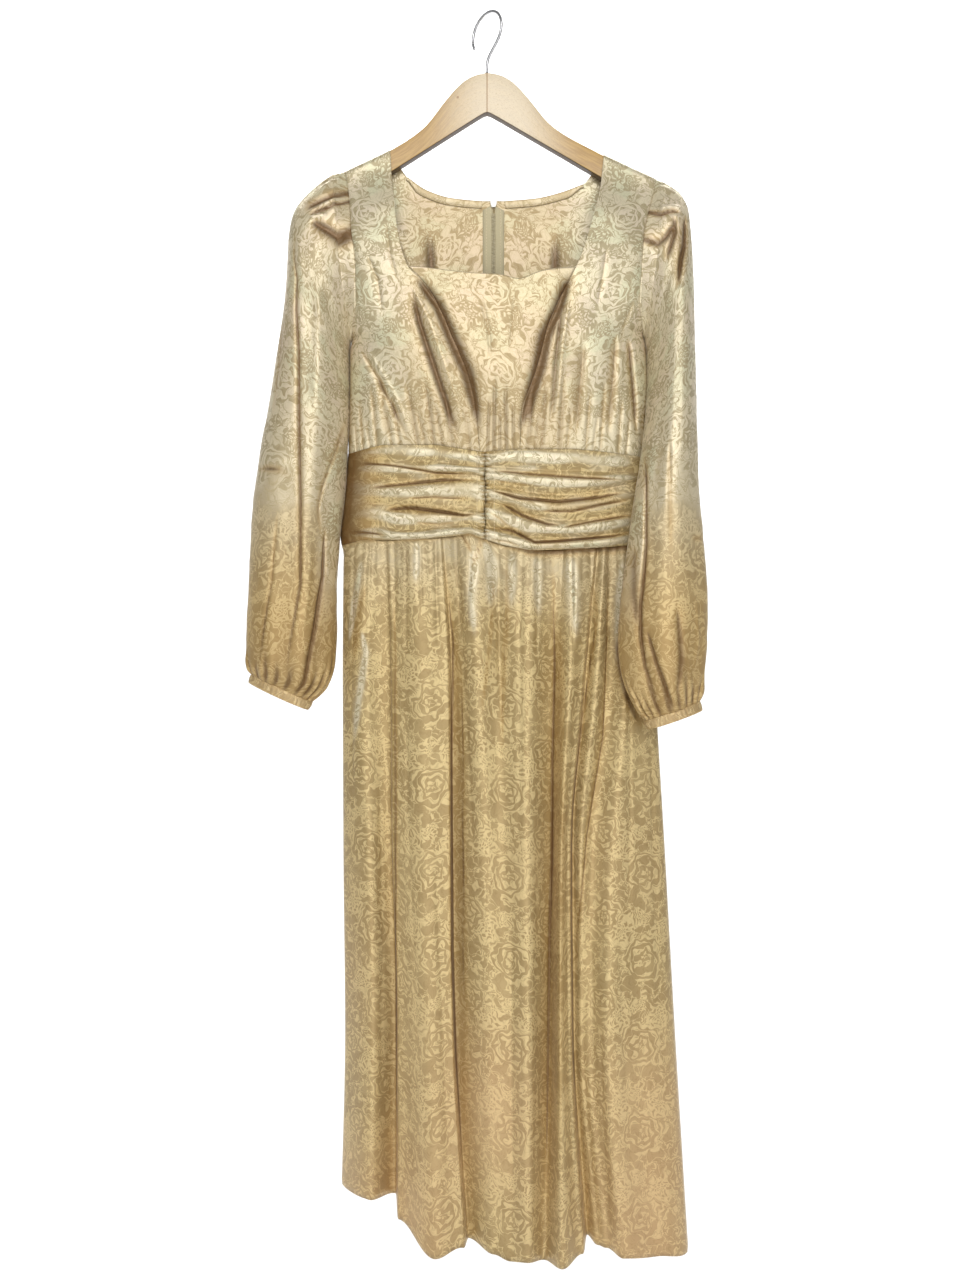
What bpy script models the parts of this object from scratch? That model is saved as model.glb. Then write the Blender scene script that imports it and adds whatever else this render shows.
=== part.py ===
"""A satin maxi dress with long bishop sleeves, hanging on a flat wooden hanger.

Metres, +Z up. The origin is where the hanger's hook rests: the inner top of its bow. The front faces -Y.
Sizes and tables below are in millimetres and are turned into metres when a mesh is made. "Left" and "right"
are as seen from the front. Every piece of cloth is a thin wall built round a grid of points, and neighbours
stop a hair short of the seam that they share.
"""

import math

import bmesh
import bpy
from mathutils import Matrix, Vector

MM = 0.001

# Cloth
WALL = 1.2
SEAM_GAP = 0.3
ARMHOLE_GAP = 0.4
UNDERARM_GAP = 1.2

# Section of the body tube: how square its lens shape is, and how tightly it turns over the hanger
LENS_POWER = 2.2
SHOULDER_TURN = 7.4

# Body tube, from hem to shoulder. Left and right are the side seams, and the armhole seams above the
# underarm. Front and back are the depths at mid width. Swing is how far the right edge comes forward.
BODY = (
    # z, left, right, front, back, swing
    (-1460, -179, 235, 62, 60, 28),
    (-1212, -173, 221, 58, 54, 22),
    (-1008, -174, 211, 50, 47, 14),
    (-800, -174, 200, 38, 36, 8),
    (-690, -173, 196, 30, 28, 5),
    (-637, -172, 195, 25, 23, 4),
    (-580, -167, 193, 25, 23, 3),
    (-525, -162, 191, 26, 24, 2),
    (-480, -161, 190, 36, 28, 0),
    (-436, -160, 189, 42, 30, 0),
    (-390, -160, 186, 42, 30, 0),
    (-350, -154, 179, 41, 28, 0),
    (-310, -154, 181, 38, 25, 0),
    (-274, -159, 184, 32, 21, 0),
    (-240, -162, 192, 24, 17, 0),
    (-215, -165, 199, 16, 13, 0),
    (-198.5, -168, 202, 12, 11, 0),
    (-189, -169, 203, 10, 10, 0),
    (-160, -172, 206, 8, 8, 0),
)

# Ends of the shoulder seams and bottoms of the armholes
NECK_POINT = {"left": (-116, -163.2), "right": (140, -168.6)}
SHOULDER_POINT = {"left": (-169, -189), "right": (202, -198.5)}
UNDERARM = {"left": (-160, -391), "right": (185.5, -385)}
ARMHOLE_HALF_DEPTH = {"front": 28, "back": 24}
ARMHOLE_GROWTH = 110
UNDERARM_TURN = 55

# Centre back zip
ZIP_X = 8.0
ZIP_TOP = -218.5
ZIP_END = -742.0
TAPE_WIDTH = 13.0
TAPE_THICK = 0.8
TAPE_DROP = 3.0
PLACKET_DROP = 15.0
PLACKET_HALF = 1.6

# Seams of the centre front panel, from the waist up to the corners of the neckline
PRINCESS = {
    "left": ((-8, -528), (-13, -479), (-22, -441), (-32, -416), (-41, -396), (-54, -366), (-71, -338), (-92, -316)),
    "right": ((38, -526), (40, -485), (50, -455), (56, -438), (61, -420), (68, -392), (81, -360), (103, -317)),
}
# Neckline edge of the straps, from those corners up to the shoulder
STRAP_EDGE = {
    "left": ((-99, -297), (-104, -275), (-107, -254), (-110, -230), (-113, -206)),
    "right": ((112, -295), (119, -272), (125, -250), (131, -228), (135, -209)),
}
# Zip edge and back neckline, from the waist up to the shoulder
BACK_EDGE = {
    "left": (
        (8, -527), (8, -479), (8, -436), (8, -400), (8, -360), (8, -315), (8, -272), (8, -238),
        (8, -218.5), (-16, -218), (-45, -215), (-74, -206), (-96, -192),
    ),
    "right": (
        (8, -527), (8, -479), (8, -436), (8, -400), (8, -360), (8, -315), (8, -272), (8, -238),
        (8, -218.5), (32, -218), (61, -215.5), (90, -209), (116, -200),
    ),
}
ZIP_ROWS = 9
# The rows of the bodice that all these edges share: heights of the side seam, then shares of the armhole,
# then drops below the shoulder seam
SIDE_ROWS = (-527, -479, -436, -412)
ARMHOLE_ROWS = (0.0, 0.07, 0.18, 0.36, 0.48, 0.59, 0.70, 0.80, 0.88)
SHOULDER_ROWS = (8, 3, 0)
# Places of the panels' columns between their inner edge and the side
SIDE_FRONT_COLUMNS = {
    "left": (0, 0.06, 0.13, 0.2, 0.27, 0.338, 0.42, 0.5, 0.58, 0.67, 0.76, 0.82, 0.88, 0.93, 0.97, 1),
    "right": (0, 0.06, 0.13, 0.2, 0.27, 0.35, 0.429, 0.51, 0.59, 0.67, 0.75, 0.82, 0.88, 0.93, 0.97, 1),
}
BACK_COLUMNS = (0, 0.085, 0.2, 0.33, 0.46, 0.59, 0.72, 0.83, 0.92, 1)

# Soft valleys pressed into the bodice front: two ends, depth, half width
BODICE_CREASES = (
    # x low, z low, x high, z high, depth, half width
    (-33, -515, -84, -340, 5.0, 9),
    (-10, -515, -62, -352, 4.0, 8),
    (-14, -470, -56, -360, 3.0, 10),
    (40, -515, 92, -335, 5.5, 10),
    (72, -510, 84, -372, 2.5, 7),
    (104, -515, 112, -405, 2.5, 7),
    (142, -515, 150, -390, 3.0, 7),
    (-91, -517, -150, -404, 2.5, 6),
    (-118, -515, -126, -440, 2.0, 6),
)
GATHER_RISE = 75

# Midriff band: its top and bottom edges, straight between these points
BAND_EDGES = {
    ("front", "top"): ((-162, -528), (-125, -520.5), (-60, -521.5), (-8, -530), (38, -527), (103.7, -526.5), (191, -534)),
    ("front", "bottom"): (
        (-172, -637), (-144, -632), (-86, -633), (-20, -627), (15, -638.5), (48, -646), (106, -644), (161, -640),
        (195, -636),
    ),
    ("back", "top"): ((-162, -528), (8, -527), (191, -534)),
    ("back", "bottom"): ((-172, -637), (8, -637), (195, -636)),
}
SHIRRING_X = -2.5
BAND_TOP_LEVEL = -527.0
BAND_BOTTOM_LEVEL = -637.0
# Places of the band's columns between its middle and its side
BAND_COLUMNS = {
    ("front", "left"): (0, 0.0345, 0.103, 0.23, 0.3605, 0.4926, 0.63, 0.768, 0.8348, 0.917, 1),
    ("front", "right"): (0, 0.0886, 0.2093, 0.2557, 0.4, 0.5494, 0.69, 0.8278, 0.91, 1),
    ("back", "left"): (0, 0.085, 0.24, 0.42, 0.6, 0.77, 0.91, 1),
    ("back", "right"): (0, 0.085, 0.24, 0.42, 0.6, 0.77, 0.91, 1),
}
# Folds of the band, from its top edge down, as shares of its height at three places along it
BAND_FOLDS = {
    "left": (
        # side, middle, centre, stands out
        (0.00, 0.00, 0.00, 0.0),
        (0.03, 0.09, 0.09, 2.5),
        (0.08, 0.17, 0.18, -1.5),
        (0.19, 0.26, 0.22, 3.0),
        (0.32, 0.35, 0.28, -2.5),
        (0.45, 0.50, 0.45, 3.5),
        (0.57, 0.65, 0.68, -2.5),
        (0.69, 0.78, 0.78, 3.0),
        (0.80, 0.89, 0.88, -1.0),
        (0.92, 0.96, 0.95, 3.5),
        (1.00, 1.00, 1.00, 0.5),
    ),
    "right": (
        (0.00, 0.00, 0.00, 0.0),
        (0.09, 0.10, 0.09, 3.0),
        (0.19, 0.21, 0.17, -2.0),
        (0.24, 0.33, 0.27, 3.5),
        (0.30, 0.45, 0.38, -3.0),
        (0.45, 0.58, 0.46, 4.0),
        (0.62, 0.71, 0.56, -2.5),
        (0.73, 0.80, 0.70, 3.5),
        (0.84, 0.88, 0.84, -1.5),
        (0.93, 0.95, 0.93, 4.5),
        (1.00, 1.00, 1.00, 0.5),
    ),
}
BACK_FOLD_SHARE = 0.6
SHIRR_DEPTH = 0.8

# Shares of the skirt's fall at which the tables below give a fold's place and how far it stands out
SKIRT_LEVELS = (0.0, 0.2, 0.45, 0.7, 1.0)
# Folds of the skirt front, from the left side seam to the right one. A "lip" is the edge of a fold that
# stands over its neighbour, and a "tuck" is the deep turn beside it.
SKIRT_FRONT_FOLDS = (
    # name, columns to the next fold, places x, stands out, hem z
    ("left seam", 3, (-172, -174, -174, -173, -178), (0, 0, 0, 0, 0), -1412),
    ("ridge 1", 3, (-144, -153, -143, -138, -139), (4, 6, 6, 8, 12), -1406),
    ("tuck 1", 1, (-120, -115, -113.5, -108, -109), (-3, -8, -13, -19, -26), -1412),
    ("lip 1", 3, (-116, -111, -109.5, -104, -104), (-1, 0, 0, -2, -6), -1430),
    ("ridge 2", 3, (-86, -78, -75, -69, -61), (5, 7, 8, 10, 14), -1457),
    ("lip 2", 1, (-56, -46, -44, -41, -27), (-1, 0, 0, 0, 0), -1448),
    ("tuck 2", 3, (-52, -42, -40, -37, -22), (-4, -10, -13, -15, -17), -1446),
    ("ridge 3", 2, (-20, -11, -3, 3, 8), (5, 5, 3, 2, 0), -1452),
    ("valley 3", 2, (15, 15, 18, 24, 26), (-2, -3, -2, 0, 3), -1456),
    ("ridge 4", 3, (48, 46, 45, 45, 45), (5, 6, 6, 8, 10), -1452),
    ("valley 4", 3, (81, 78, 74, 72, 65), (-3, -10, -12, -14, -6), -1457),
    ("ridge 5", 2, (106, 95, 84, 82, 83), (5, 8, 10, 13, 18), -1452),
    ("lip 5", 1, (127, 110, 94, 94, 108), (0, 0, 0, 0, -2), -1446),
    ("tuck 5", 1, (131, 115, 99, 100, 115), (-4, -9, -12, -15, -22), -1436),
    ("ridge 6", 2, (138, 127, 108, 108, 126), (3, 2, -3, -9, -12), -1442),
    ("valley 6", 2, (147, 143, 121, 117, 136), (-3, -7, -8, -6, -6), -1442),
    ("ridge 7", 2, (161, 164, 146, 138, 153), (3, 4, 4, 8, 8), -1446),
    ("side 7", 2, (179, 182, 178, 177, 193), (0, 0, 0, 0, 0), -1452),
    ("right seam", 0, (195, 200, 211, 221, 235), (0, 0, 0, 0, 0), -1460),
)
# Folds of the skirt back, from the left side seam to the centre seam and from there to the right one
SKIRT_BACK_FOLDS = {
    "left": (
        ("left seam", 3, (-172, -174, -174, -173, -178), (0, 0, 0, 0, 0), -1412),
        ("ridge 1", 3, (-140, -142, -138, -136, -138), (4, 6, 8, 10, 14), -1432),
        ("valley 1", 3, (-108, -104, -100, -96, -96), (-3, -8, -12, -14, -16), -1440),
        ("ridge 2", 3, (-70, -68, -64, -60, -58), (5, 7, 9, 12, 16), -1450),
        ("valley 2", 3, (-38, -34, -30, -28, -26), (-2, -7, -10, -12, -12), -1450),
        ("centre seam", 0, (8, 8, 8, 10, 12), (0, 2, 4, 6, 8), -1455),
    ),
    "right": (
        ("centre seam", 2, (8, 8, 8, 10, 12), (0, 2, 4, 6, 8), -1455),
        ("valley 3", 3, (48, 48, 46, 46, 48), (-2, -6, -10, -12, -14), -1454),
        ("ridge 3", 3, (76, 78, 80, 84, 88), (5, 7, 9, 12, 16), -1458),
        ("valley 4", 3, (106, 110, 114, 118, 124), (-3, -8, -11, -14, -16), -1455),
        ("ridge 4", 3, (140, 146, 150, 156, 164), (4, 6, 8, 10, 14), -1460),
        ("valley 5", 3, (168, 174, 182, 190, 202), (-1, -3, -5, -6, -8), -1460),
        ("right seam", 0, (195, 200, 211, 221, 235), (0, 0, 0, 0, 0), -1460),
    ),
}
SKIRT_ROWS = (0.0, 0.03, 0.07, 0.12, 0.2, 0.3, 0.41, 0.52, 0.64, 0.76, 0.88, 1.0)
GATHER_DEPTH = 2.2
GATHER_FALL = 0.13

# Rings of the sleeves below the armhole: outer point, inner point, place and half depth front to back
SLEEVE_RINGS = {
    "left": (
        # outer x, outer z, inner x, inner z, y, half depth
        (-185, -195, -163.5, -395, 0, 27),
        (-202, -208, -164, -399, 0, 30),
        (-218, -222, -164.5, -404, 0, 33),
        (-232, -242, -165, -411, 0, 35),
        (-237, -268, -165, -420, 0, 37),
        (-239, -304, -165, -432, 0, 38),
        (-243, -353, -165, -450, -2, 39),
        (-250, -406, -165.5, -472, -3, 40),
        (-258, -464, -166, -503, -5, 40),
        (-269, -526, -168, -545, -6, 40),
        (-278, -586, -171.5, -592, -7, 40),
        (-281, -641, -176, -641, -8, 40),
        (-283, -694, -179, -694, -8, 40),
        (-286, -741, -180, -743, -8, 38),
        (-286, -772, -183, -782, -8, 33),
        (-284, -784, -191, -805, -8, 26),
        (-280, -792, -209, -825, -8, 17),
    ),
    "right": (
        (212, -203.5, 187.5, -389, 0, 27),
        (223, -211, 188.5, -393, 0, 30),
        (233, -220, 189, -398, 0, 33),
        (240, -234, 190, -405, 0, 35),
        (243, -257, 190.5, -414, -1, 37),
        (245, -290, 191, -426, -3, 38),
        (246, -339, 191, -445, -8, 39),
        (245, -401, 189, -470, -16, 39),
        (244, -463, 185, -504, -27, 38),
        (243, -530, 178, -548, -38, 36),
        (244, -592, 168, -599, -48, 34),
        (247, -650, 160, -650, -56, 33),
        (250, -703, 152, -703, -62, 32),
        (249, -751, 149, -751, -64, 32),
        (246, -787, 153, -792, -64, 30),
        (244, -806, 165, -822, -63, 25),
        (241, -821, 179, -843, -62, 17),
    ),
}
SLEEVE_COLUMN_WIDTH = 21
SLEEVE_CLEAR = 2.4
# Long folds of the sleeves. Turn is the angle round the ring, from its outer point over the front.
SLEEVE_FOLDS = {
    "left": (
        # turn at cap, turn at wrist, stands out at cap, elbow, wrist, half width in degrees
        (80, 92, -3, -4, -6, 16),
        (48, 60, 3, 4, 6, 18),
        (135, 128, -2, -6, -8, 16),
        (108, 112, 2, 4, 6, 14),
        (232, 235, -3, -6, -7, 18),
        (275, 272, 3, 5, 6, 20),
        (310, 305, -3, -5, -6, 18),
    ),
    "right": (
        (35, 50, -5, -3, -6, 16),
        (70, 82, 3, 4, 5, 20),
        (128, 116, -2, -6, -9, 15),
        (100, 100, 2, 3, 4, 14),
        (235, 230, -3, -5, -6, 18),
        (275, 270, 3, 4, 5, 20),
        (312, 308, -3, -5, -6, 18),
    ),
}
CAP_PLEAT_DEPTH = 2.6
CAP_PLEAT_RINGS = 5
WRIST_GATHER_DEPTH = 2.2
WRIST_GATHER_RINGS = 4
CUFF_HEIGHT = 10.0
CUFF_COLUMNS = 24

# Back neck binding
BINDING_WIDTH = 8.0
BINDING_THICK = 1.0

# Hanger: a flat wooden bow, leaning slightly, and its wire hook
HANGER_LEAN = 1.5
HANGER_HALF_THICK = 5.5
HANGER_TOP = (
    # distance from the middle, z
    (0, -72), (13, -74.5), (26, -80.5), (36, -89), (46, -100), (55, -111), (64, -123),
    (74, -134.5), (85, -143.5), (98.5, -152.5), (116.5, -162.5), (134, -172), (152, -182),
    (174, -193.5), (190, -203), (199, -210), (203.5, -218),
)
HANGER_APEX = -121.6
HANGER_UNDERSIDE_SLOPE = 0.61
HANGER_END_BOTTOM = -226
HANGER_EDGE_ROUND = 4.2
HOOK_WIRE = 3.6
HOOK_RADIUS = 24.0
HOOK_TURN = 45
HOOK_TIP_ANGLE = 205

# Zip slider and pull tab
SLIDER_WIDTH = 7.6
SLIDER_HEIGHT = 10.0
SLIDER_THICK = 2.4
SLIDER_ABOVE_EDGE = 2.5
SLIDER_CLEAR = 0.4
WING_THICK = 1.2
TUNNEL = 1.8
BRIDGE_HALF = 0.8
PULL_WIDTH = 5.0
PULL_LENGTH = 24.0
PULL_THICK = 1.2
PULL_LEAN = 14.0


def clamp(value, low=0.0, high=1.0):
    return max(low, min(high, value))


def lerp(a, b, share):
    return a + (b - a) * share


def ease(share):
    """Goes from 0 to 1 with a level start and end."""
    share = clamp(share)
    return share * share * (3 - 2 * share)


def smooth_curve(xs, ys, x):
    """Reads a smooth curve that never overshoots its points."""
    if x <= xs[0]:
        return ys[0]
    if x >= xs[-1]:
        return ys[-1]
    i = max(k for k in range(len(xs) - 1) if xs[k] <= x)
    steps = [xs[k + 1] - xs[k] for k in range(len(xs) - 1)]
    slopes = [(ys[k + 1] - ys[k]) / steps[k] for k in range(len(steps))]

    def tangent(k):
        if k == 0:
            return slopes[0]
        if k == len(slopes):
            return slopes[-1]
        if slopes[k - 1] * slopes[k] <= 0:
            return 0.0
        return 2 * slopes[k - 1] * slopes[k] / (slopes[k - 1] + slopes[k])

    step = steps[i]
    t = (x - xs[i]) / step
    return (
        ys[i] * (1 + 2 * t) * (1 - t) ** 2
        + tangent(i) * step * t * (1 - t) ** 2
        + ys[i + 1] * t * t * (3 - 2 * t)
        + tangent(i + 1) * step * t * t * (t - 1)
    )


def column_curve(table, column, place):
    """Reads one column of a table whose first column is the place."""
    rows = sorted(table)
    return smooth_curve([row[0] for row in rows], [row[column] for row in rows], place)


def body(z):
    """Left and right edge, front and back depth and swing of the body tube at a height."""
    return [column_curve(BODY, column, z) for column in range(1, 6)]


def shoulder_height(x):
    """Height of the nearer shoulder seam's line over a place."""
    side = "left" if x < (NECK_POINT["left"][0] + NECK_POINT["right"][0]) / 2 else "right"
    (neck_x, neck_z), (end_x, end_z) = NECK_POINT[side], SHOULDER_POINT[side]
    return neck_z + (end_z - neck_z) * (x - neck_x) / (end_x - neck_x)


def over_hanger(drop):
    """Share of the full depth at a drop below the shoulder seam: the cloth turns over in a half round."""
    left = 1 - clamp(drop / SHOULDER_TURN)
    return math.sqrt(max(0.0, 1 - left * left))


def armhole_depth(side, face, z):
    """Half depth of the armhole at a height, nothing at the underarm and below it."""
    rise = z - UNDERARM[side][1]
    if rise <= 0:
        return 0.0
    drop = SHOULDER_POINT[side][1] - z
    full = lerp(SHOULDER_TURN, ARMHOLE_HALF_DEPTH[face], ease(drop / ARMHOLE_GROWTH))
    left = 1 - clamp(rise / UNDERARM_TURN)
    return full * math.sqrt(max(0.0, 1 - left * left))


def crease_depth(x, z):
    """How far the soft valleys of the bodice front press in at a place."""
    depth = 0.0
    for x_low, z_low, x_high, z_high, deep, half in BODICE_CREASES:
        along = (z - z_low) / (z_high - z_low)
        if along > 1.2 or along < -0.4:
            continue
        middle = lerp(x_low, x_high, along)
        fade = ease((1.2 - along) / 0.7) * ease((along + 0.4) / 0.4)
        depth += deep * fade * math.exp(-(((x - middle) / half) ** 2))
    return depth


def body_y(face, x, z):
    """Depth coordinate of the body's cloth over a place, seen from the front."""
    left, right, front, back, swing = body(z)
    middle, half = (left + right) / 2, (right - left) / 2
    across = clamp((x - middle) / half, -1, 1)
    lens = (1 - abs(across) ** LENS_POWER) ** (1 / LENS_POWER)
    side = "left" if across < 0 else "right"
    edge = armhole_depth(side, face, z)
    full = front if face == "front" else back
    depth = edge + (full - edge) * lens
    if face == "front" and z > BAND_BOTTOM_LEVEL:
        depth -= crease_depth(x, z) * lens
    depth *= over_hanger(shoulder_height(x) - z)
    sign = -1 if face == "front" else 1
    return sign * depth - swing * across


def surface_normal(face, x, z):
    """Outward direction of the body's cloth at a place."""
    reach = 0.5
    across = (body_y(face, x + reach, z) - body_y(face, x - reach, z)) / (2 * reach)
    upward = (body_y(face, x, z + reach) - body_y(face, x, z - reach)) / (2 * reach)
    sign = -1 if face == "front" else 1
    return (Vector((-across, 1.0, -upward)) * sign).normalized()


def edge_normal(points, row, outward):
    """Direction across an edge's line, as near to a wanted direction as it goes, without leaning along it."""
    ahead = points[min(row + 1, len(points) - 1)]
    behind = points[max(row - 1, 0)]
    along = (ahead - behind).normalized()
    direction = outward - along * outward.dot(along)
    return direction.normalized()


def grid_normals(grid, closed, flip):
    """Normals of a grid of points, from the lines through each point's neighbours."""
    rows, columns = len(grid), len(grid[0])
    normals = []
    for r in range(rows):
        line = []
        for c in range(columns):
            if closed:
                before, after = grid[r][c - 1], grid[r][(c + 1) % columns]
            else:
                before, after = grid[r][max(c - 1, 0)], grid[r][min(c + 1, columns - 1)]
            below, above = grid[max(r - 1, 0)][c], grid[min(r + 1, rows - 1)][c]
            normal = (after - before).cross(above - below)
            if flip:
                normal = -normal
            line.append(normal.normalized())
        normals.append(line)
    return normals


def pull_in(grid, edges):
    """Draws the named edges of a grid back along the cloth by their gaps."""
    new = [[point.copy() for point in line] for line in grid]
    rows, columns = len(grid), len(grid[0])

    def draw(r, c, to_r, to_c, gap):
        direction = grid[to_r][to_c] - grid[r][c]
        if direction.length > 0:
            new[r][c] += direction.normalized() * gap

    for edge, gap in edges.items():
        if edge in ("first row", "last row"):
            r, to_r = (0, 1) if edge == "first row" else (rows - 1, rows - 2)
            for c in range(columns):
                draw(r, c, to_r, c, gap)
        else:
            c, to_c = (0, 1) if edge == "first column" else (columns - 1, columns - 2)
            for r in range(rows):
                draw(r, c, r, to_c, gap)
    return new


def add_material(thing, colour, roughness, metallic=0.0):
    material = bpy.data.materials.new(thing.name + "_finish")
    material.use_nodes = True
    shader = material.node_tree.nodes["Principled BSDF"]
    shader.inputs["Base Color"].default_value = (*colour, 1.0)
    shader.inputs["Roughness"].default_value = roughness
    shader.inputs["Metallic"].default_value = metallic
    thing.data.materials.append(material)


def add_object(name, vertices, faces, finish):
    """Makes a named object from points in millimetres."""
    mesh = bpy.data.meshes.new(name)
    mesh.from_pydata([tuple(v * MM for v in point) for point in vertices], [], faces)
    mesh.validate()
    mesh.shade_smooth()
    thing = bpy.data.objects.new(name, mesh)
    bpy.context.scene.collection.objects.link(thing)
    add_material(thing, *finish)
    return thing


def cloth_wall(name, grid, normals, finish, closed=False, thick=WALL):
    """Builds a closed wall of cloth round a grid: an outer sheet, an inner sheet and the edges between."""
    rows, columns = len(grid), len(grid[0])
    outer = [[grid[r][c] + normals[r][c] * thick / 2 for c in range(columns)] for r in range(rows)]
    inner = [[grid[r][c] - normals[r][c] * thick / 2 for c in range(columns)] for r in range(rows)]
    vertices = [point for line in outer for point in line] + [point for line in inner for point in line]
    count = rows * columns
    spans = columns if closed else columns - 1
    faces = []

    def at(r, c, sheet):
        return sheet * count + r * columns + c % columns

    for r in range(rows - 1):
        for c in range(spans):
            faces.append((at(r, c, 0), at(r, c + 1, 0), at(r + 1, c + 1, 0), at(r + 1, c, 0)))
            faces.append((at(r, c, 1), at(r + 1, c, 1), at(r + 1, c + 1, 1), at(r, c + 1, 1)))
    for c in range(spans):
        faces.append((at(0, c, 0), at(0, c, 1), at(0, c + 1, 1), at(0, c + 1, 0)))
        last = rows - 1
        faces.append((at(last, c, 0), at(last, c + 1, 0), at(last, c + 1, 1), at(last, c, 1)))
    if not closed:
        for r in range(rows - 1):
            faces.append((at(r, 0, 0), at(r + 1, 0, 0), at(r + 1, 0, 1), at(r, 0, 1)))
            last = columns - 1
            faces.append((at(r, last, 0), at(r, last, 1), at(r + 1, last, 1), at(r + 1, last, 0)))
    thing = add_object(name, vertices, faces, finish)
    set_outward(thing)
    return thing


def set_outward(thing):
    """Turns all faces of a closed mesh outward."""
    work = bmesh.new()
    work.from_mesh(thing.data)
    bmesh.ops.recalc_face_normals(work, faces=work.faces)
    if work.calc_volume(signed=True) < 0:
        bmesh.ops.reverse_faces(work, faces=work.faces)
    work.to_mesh(thing.data)
    work.free()


SATIN = ((0.74, 0.62, 0.38), 0.38, 0.0)
TAPE = ((0.58, 0.50, 0.34), 0.8, 0.0)
WHITE = ((0.85, 0.84, 0.8), 0.35, 0.0)
WOOD = ((0.66, 0.43, 0.17), 0.45, 0.0)
STEEL = ((0.7, 0.7, 0.73), 0.22, 1.0)


def bodice_rows(side):
    """Heights at the side edge of the bodice's shared rows, waist first, with the drop of the last ones."""
    low, high = UNDERARM[side][1], SHOULDER_POINT[side][1]
    rows = list(SIDE_ROWS)
    rows += [lerp(low, high, share) for share in ARMHOLE_ROWS]
    rows += [high - drop for drop in SHOULDER_ROWS]
    return rows


def outer_edge(side, waist_z):
    """Side seam and armhole seam of a bodice panel, from the waist up, as (x, z)."""
    points = []
    for z in bodice_rows(side):
        left, right = body(z)[:2]
        points.append((left if side == "left" else right, z))
    points[0] = (points[0][0], waist_z)
    return points


def shoulder_steps(edge, side):
    """Adds the last rows of an inner edge, up to the neck point."""
    neck_x, neck_z = NECK_POINT[side]
    last_x, last_z = edge[-1]
    steps = []
    for drop in SHOULDER_ROWS:
        share = drop / (neck_z - last_z)
        steps.append((lerp(neck_x, last_x, share), neck_z - drop))
    return list(edge) + steps


def front_inner_edge(side):
    return shoulder_steps(PRINCESS[side] + STRAP_EDGE[side], side)


def back_inner_edge(side):
    return shoulder_steps(BACK_EDGE[side], side)


def bodice_grid(side, face, places, gathers):
    """Points of a side front or a back: rows run from the inner edge to the side seam, armhole and shoulder."""
    inner = front_inner_edge(side) if face == "front" else back_inner_edge(side)
    outer = outer_edge(side, band_edge(face, body(SIDE_ROWS[0])[0 if side == "left" else 1], "top"))
    grid = []
    for r in range(len(inner)):
        line = []
        for c, share in enumerate(places):
            x = lerp(inner[r][0], outer[r][0], share)
            z = lerp(inner[r][1], outer[r][1], share)
            if r == 0:
                z = band_edge(face, x, "top")
            y = body_y(face, x, z)
            if gathers and 0 < share < 1:
                rise = z - band_edge(face, x, "top")
                swell = gathers * (1 - clamp(rise / GATHER_RISE)) * (0.7 + 0.3 * math.sin(2.3 * c + 1))
                y += (swell if c % 2 else -swell) * (-1 if face == "front" else 1)
            line.append(Vector((x, y, z)))
        grid.append(line)
    return grid


def bodice_panel(name, side, face, places, gathers):
    grid = bodice_grid(side, face, places, gathers)
    flip = (face == "front") == (side == "left")
    normals = grid_normals(grid, False, flip)
    fix_bodice_normals(grid, normals, side, face)
    edges = {
        "first row": SEAM_GAP,
        "last row": SEAM_GAP / 2,
        "first column": SEAM_GAP / 2,
        "last column": ARMHOLE_GAP / 2,
    }
    pulled = pull_in(grid, edges)
    if face == "back":
        open_placket(pulled, side)
    return cloth_wall(name, pulled, normals, SATIN)


def open_placket(grid, side):
    """Leaves room for the slider's neck at the top of the zip."""
    sign = -1 if side == "left" else 1
    for line in grid:
        point = line[0]
        if abs(point.x - ZIP_X) < 1 and point.z > ZIP_TOP - PLACKET_DROP:
            point.x = ZIP_X + sign * PLACKET_HALF


def fix_bodice_normals(grid, normals, side, face):
    """Gives the edges of a bodice panel the directions that its neighbours use too."""
    outward_side = Vector((-1.0 if side == "left" else 1.0, 0.0, 0.0))
    outward_face = Vector((0.0, -1.0 if face == "front" else 1.0, 0.0))
    last = len(grid) - 1
    side_line = [line[-1] for line in grid]
    for r, line in enumerate(grid):
        normals[r][0] = surface_normal(face, line[0].x, line[0].z)
        if side_line[r].z <= UNDERARM[side][1] + 0.01:
            normals[r][-1] = outward_side
        else:
            across = edge_normal(side_line, r, outward_face)
            across.x = 0
            normals[r][-1] = across.normalized()
    for c in range(len(grid[0])):
        level = normals[0][c].copy()
        level.z = 0
        normals[0][c] = level.normalized()
        normals[last][c] = shoulder_normal(side)


def shoulder_normal(side):
    (neck_x, neck_z), (end_x, end_z) = NECK_POINT[side], SHOULDER_POINT[side]
    along = Vector((end_x - neck_x, 0.0, end_z - neck_z)).normalized()
    up = Vector((-along.z, 0.0, along.x))
    return up if up.z > 0 else -up


def centre_front():
    """The panel between the two princess seams, up to the neckline."""
    columns = 9
    dip = 9
    left, right = PRINCESS["left"], PRINCESS["right"]
    grid = []
    for r in range(len(left)):
        line = []
        for c in range(columns + 1):
            share = c / columns
            x = lerp(left[r][0], right[r][0], share)
            z = lerp(left[r][1], right[r][1], share)
            if r == 0:
                z = band_edge("front", x, "top")
            if r == len(left) - 1:
                z -= dip * math.sin(math.pi * share) ** 1.5
            y = body_y("front", x, z)
            if r < 3 and 0 < c < columns:
                y -= (1.2 if c % 2 else -1.2) * (1 - r / 3)
            line.append(Vector((x, y, z)))
        grid.append(line)
    normals = grid_normals(grid, False, False)
    for r in range(len(grid)):
        normals[r][0] = surface_normal("front", *left[r])
        normals[r][-1] = surface_normal("front", *right[r])
    for c in range(columns + 1):
        normals[0][c].z = 0
        normals[0][c].normalize()
    edges = {"first row": SEAM_GAP, "first column": SEAM_GAP / 2, "last column": SEAM_GAP / 2}
    return cloth_wall("bodice_centre_front", pull_in(grid, edges), normals, SATIN)


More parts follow.
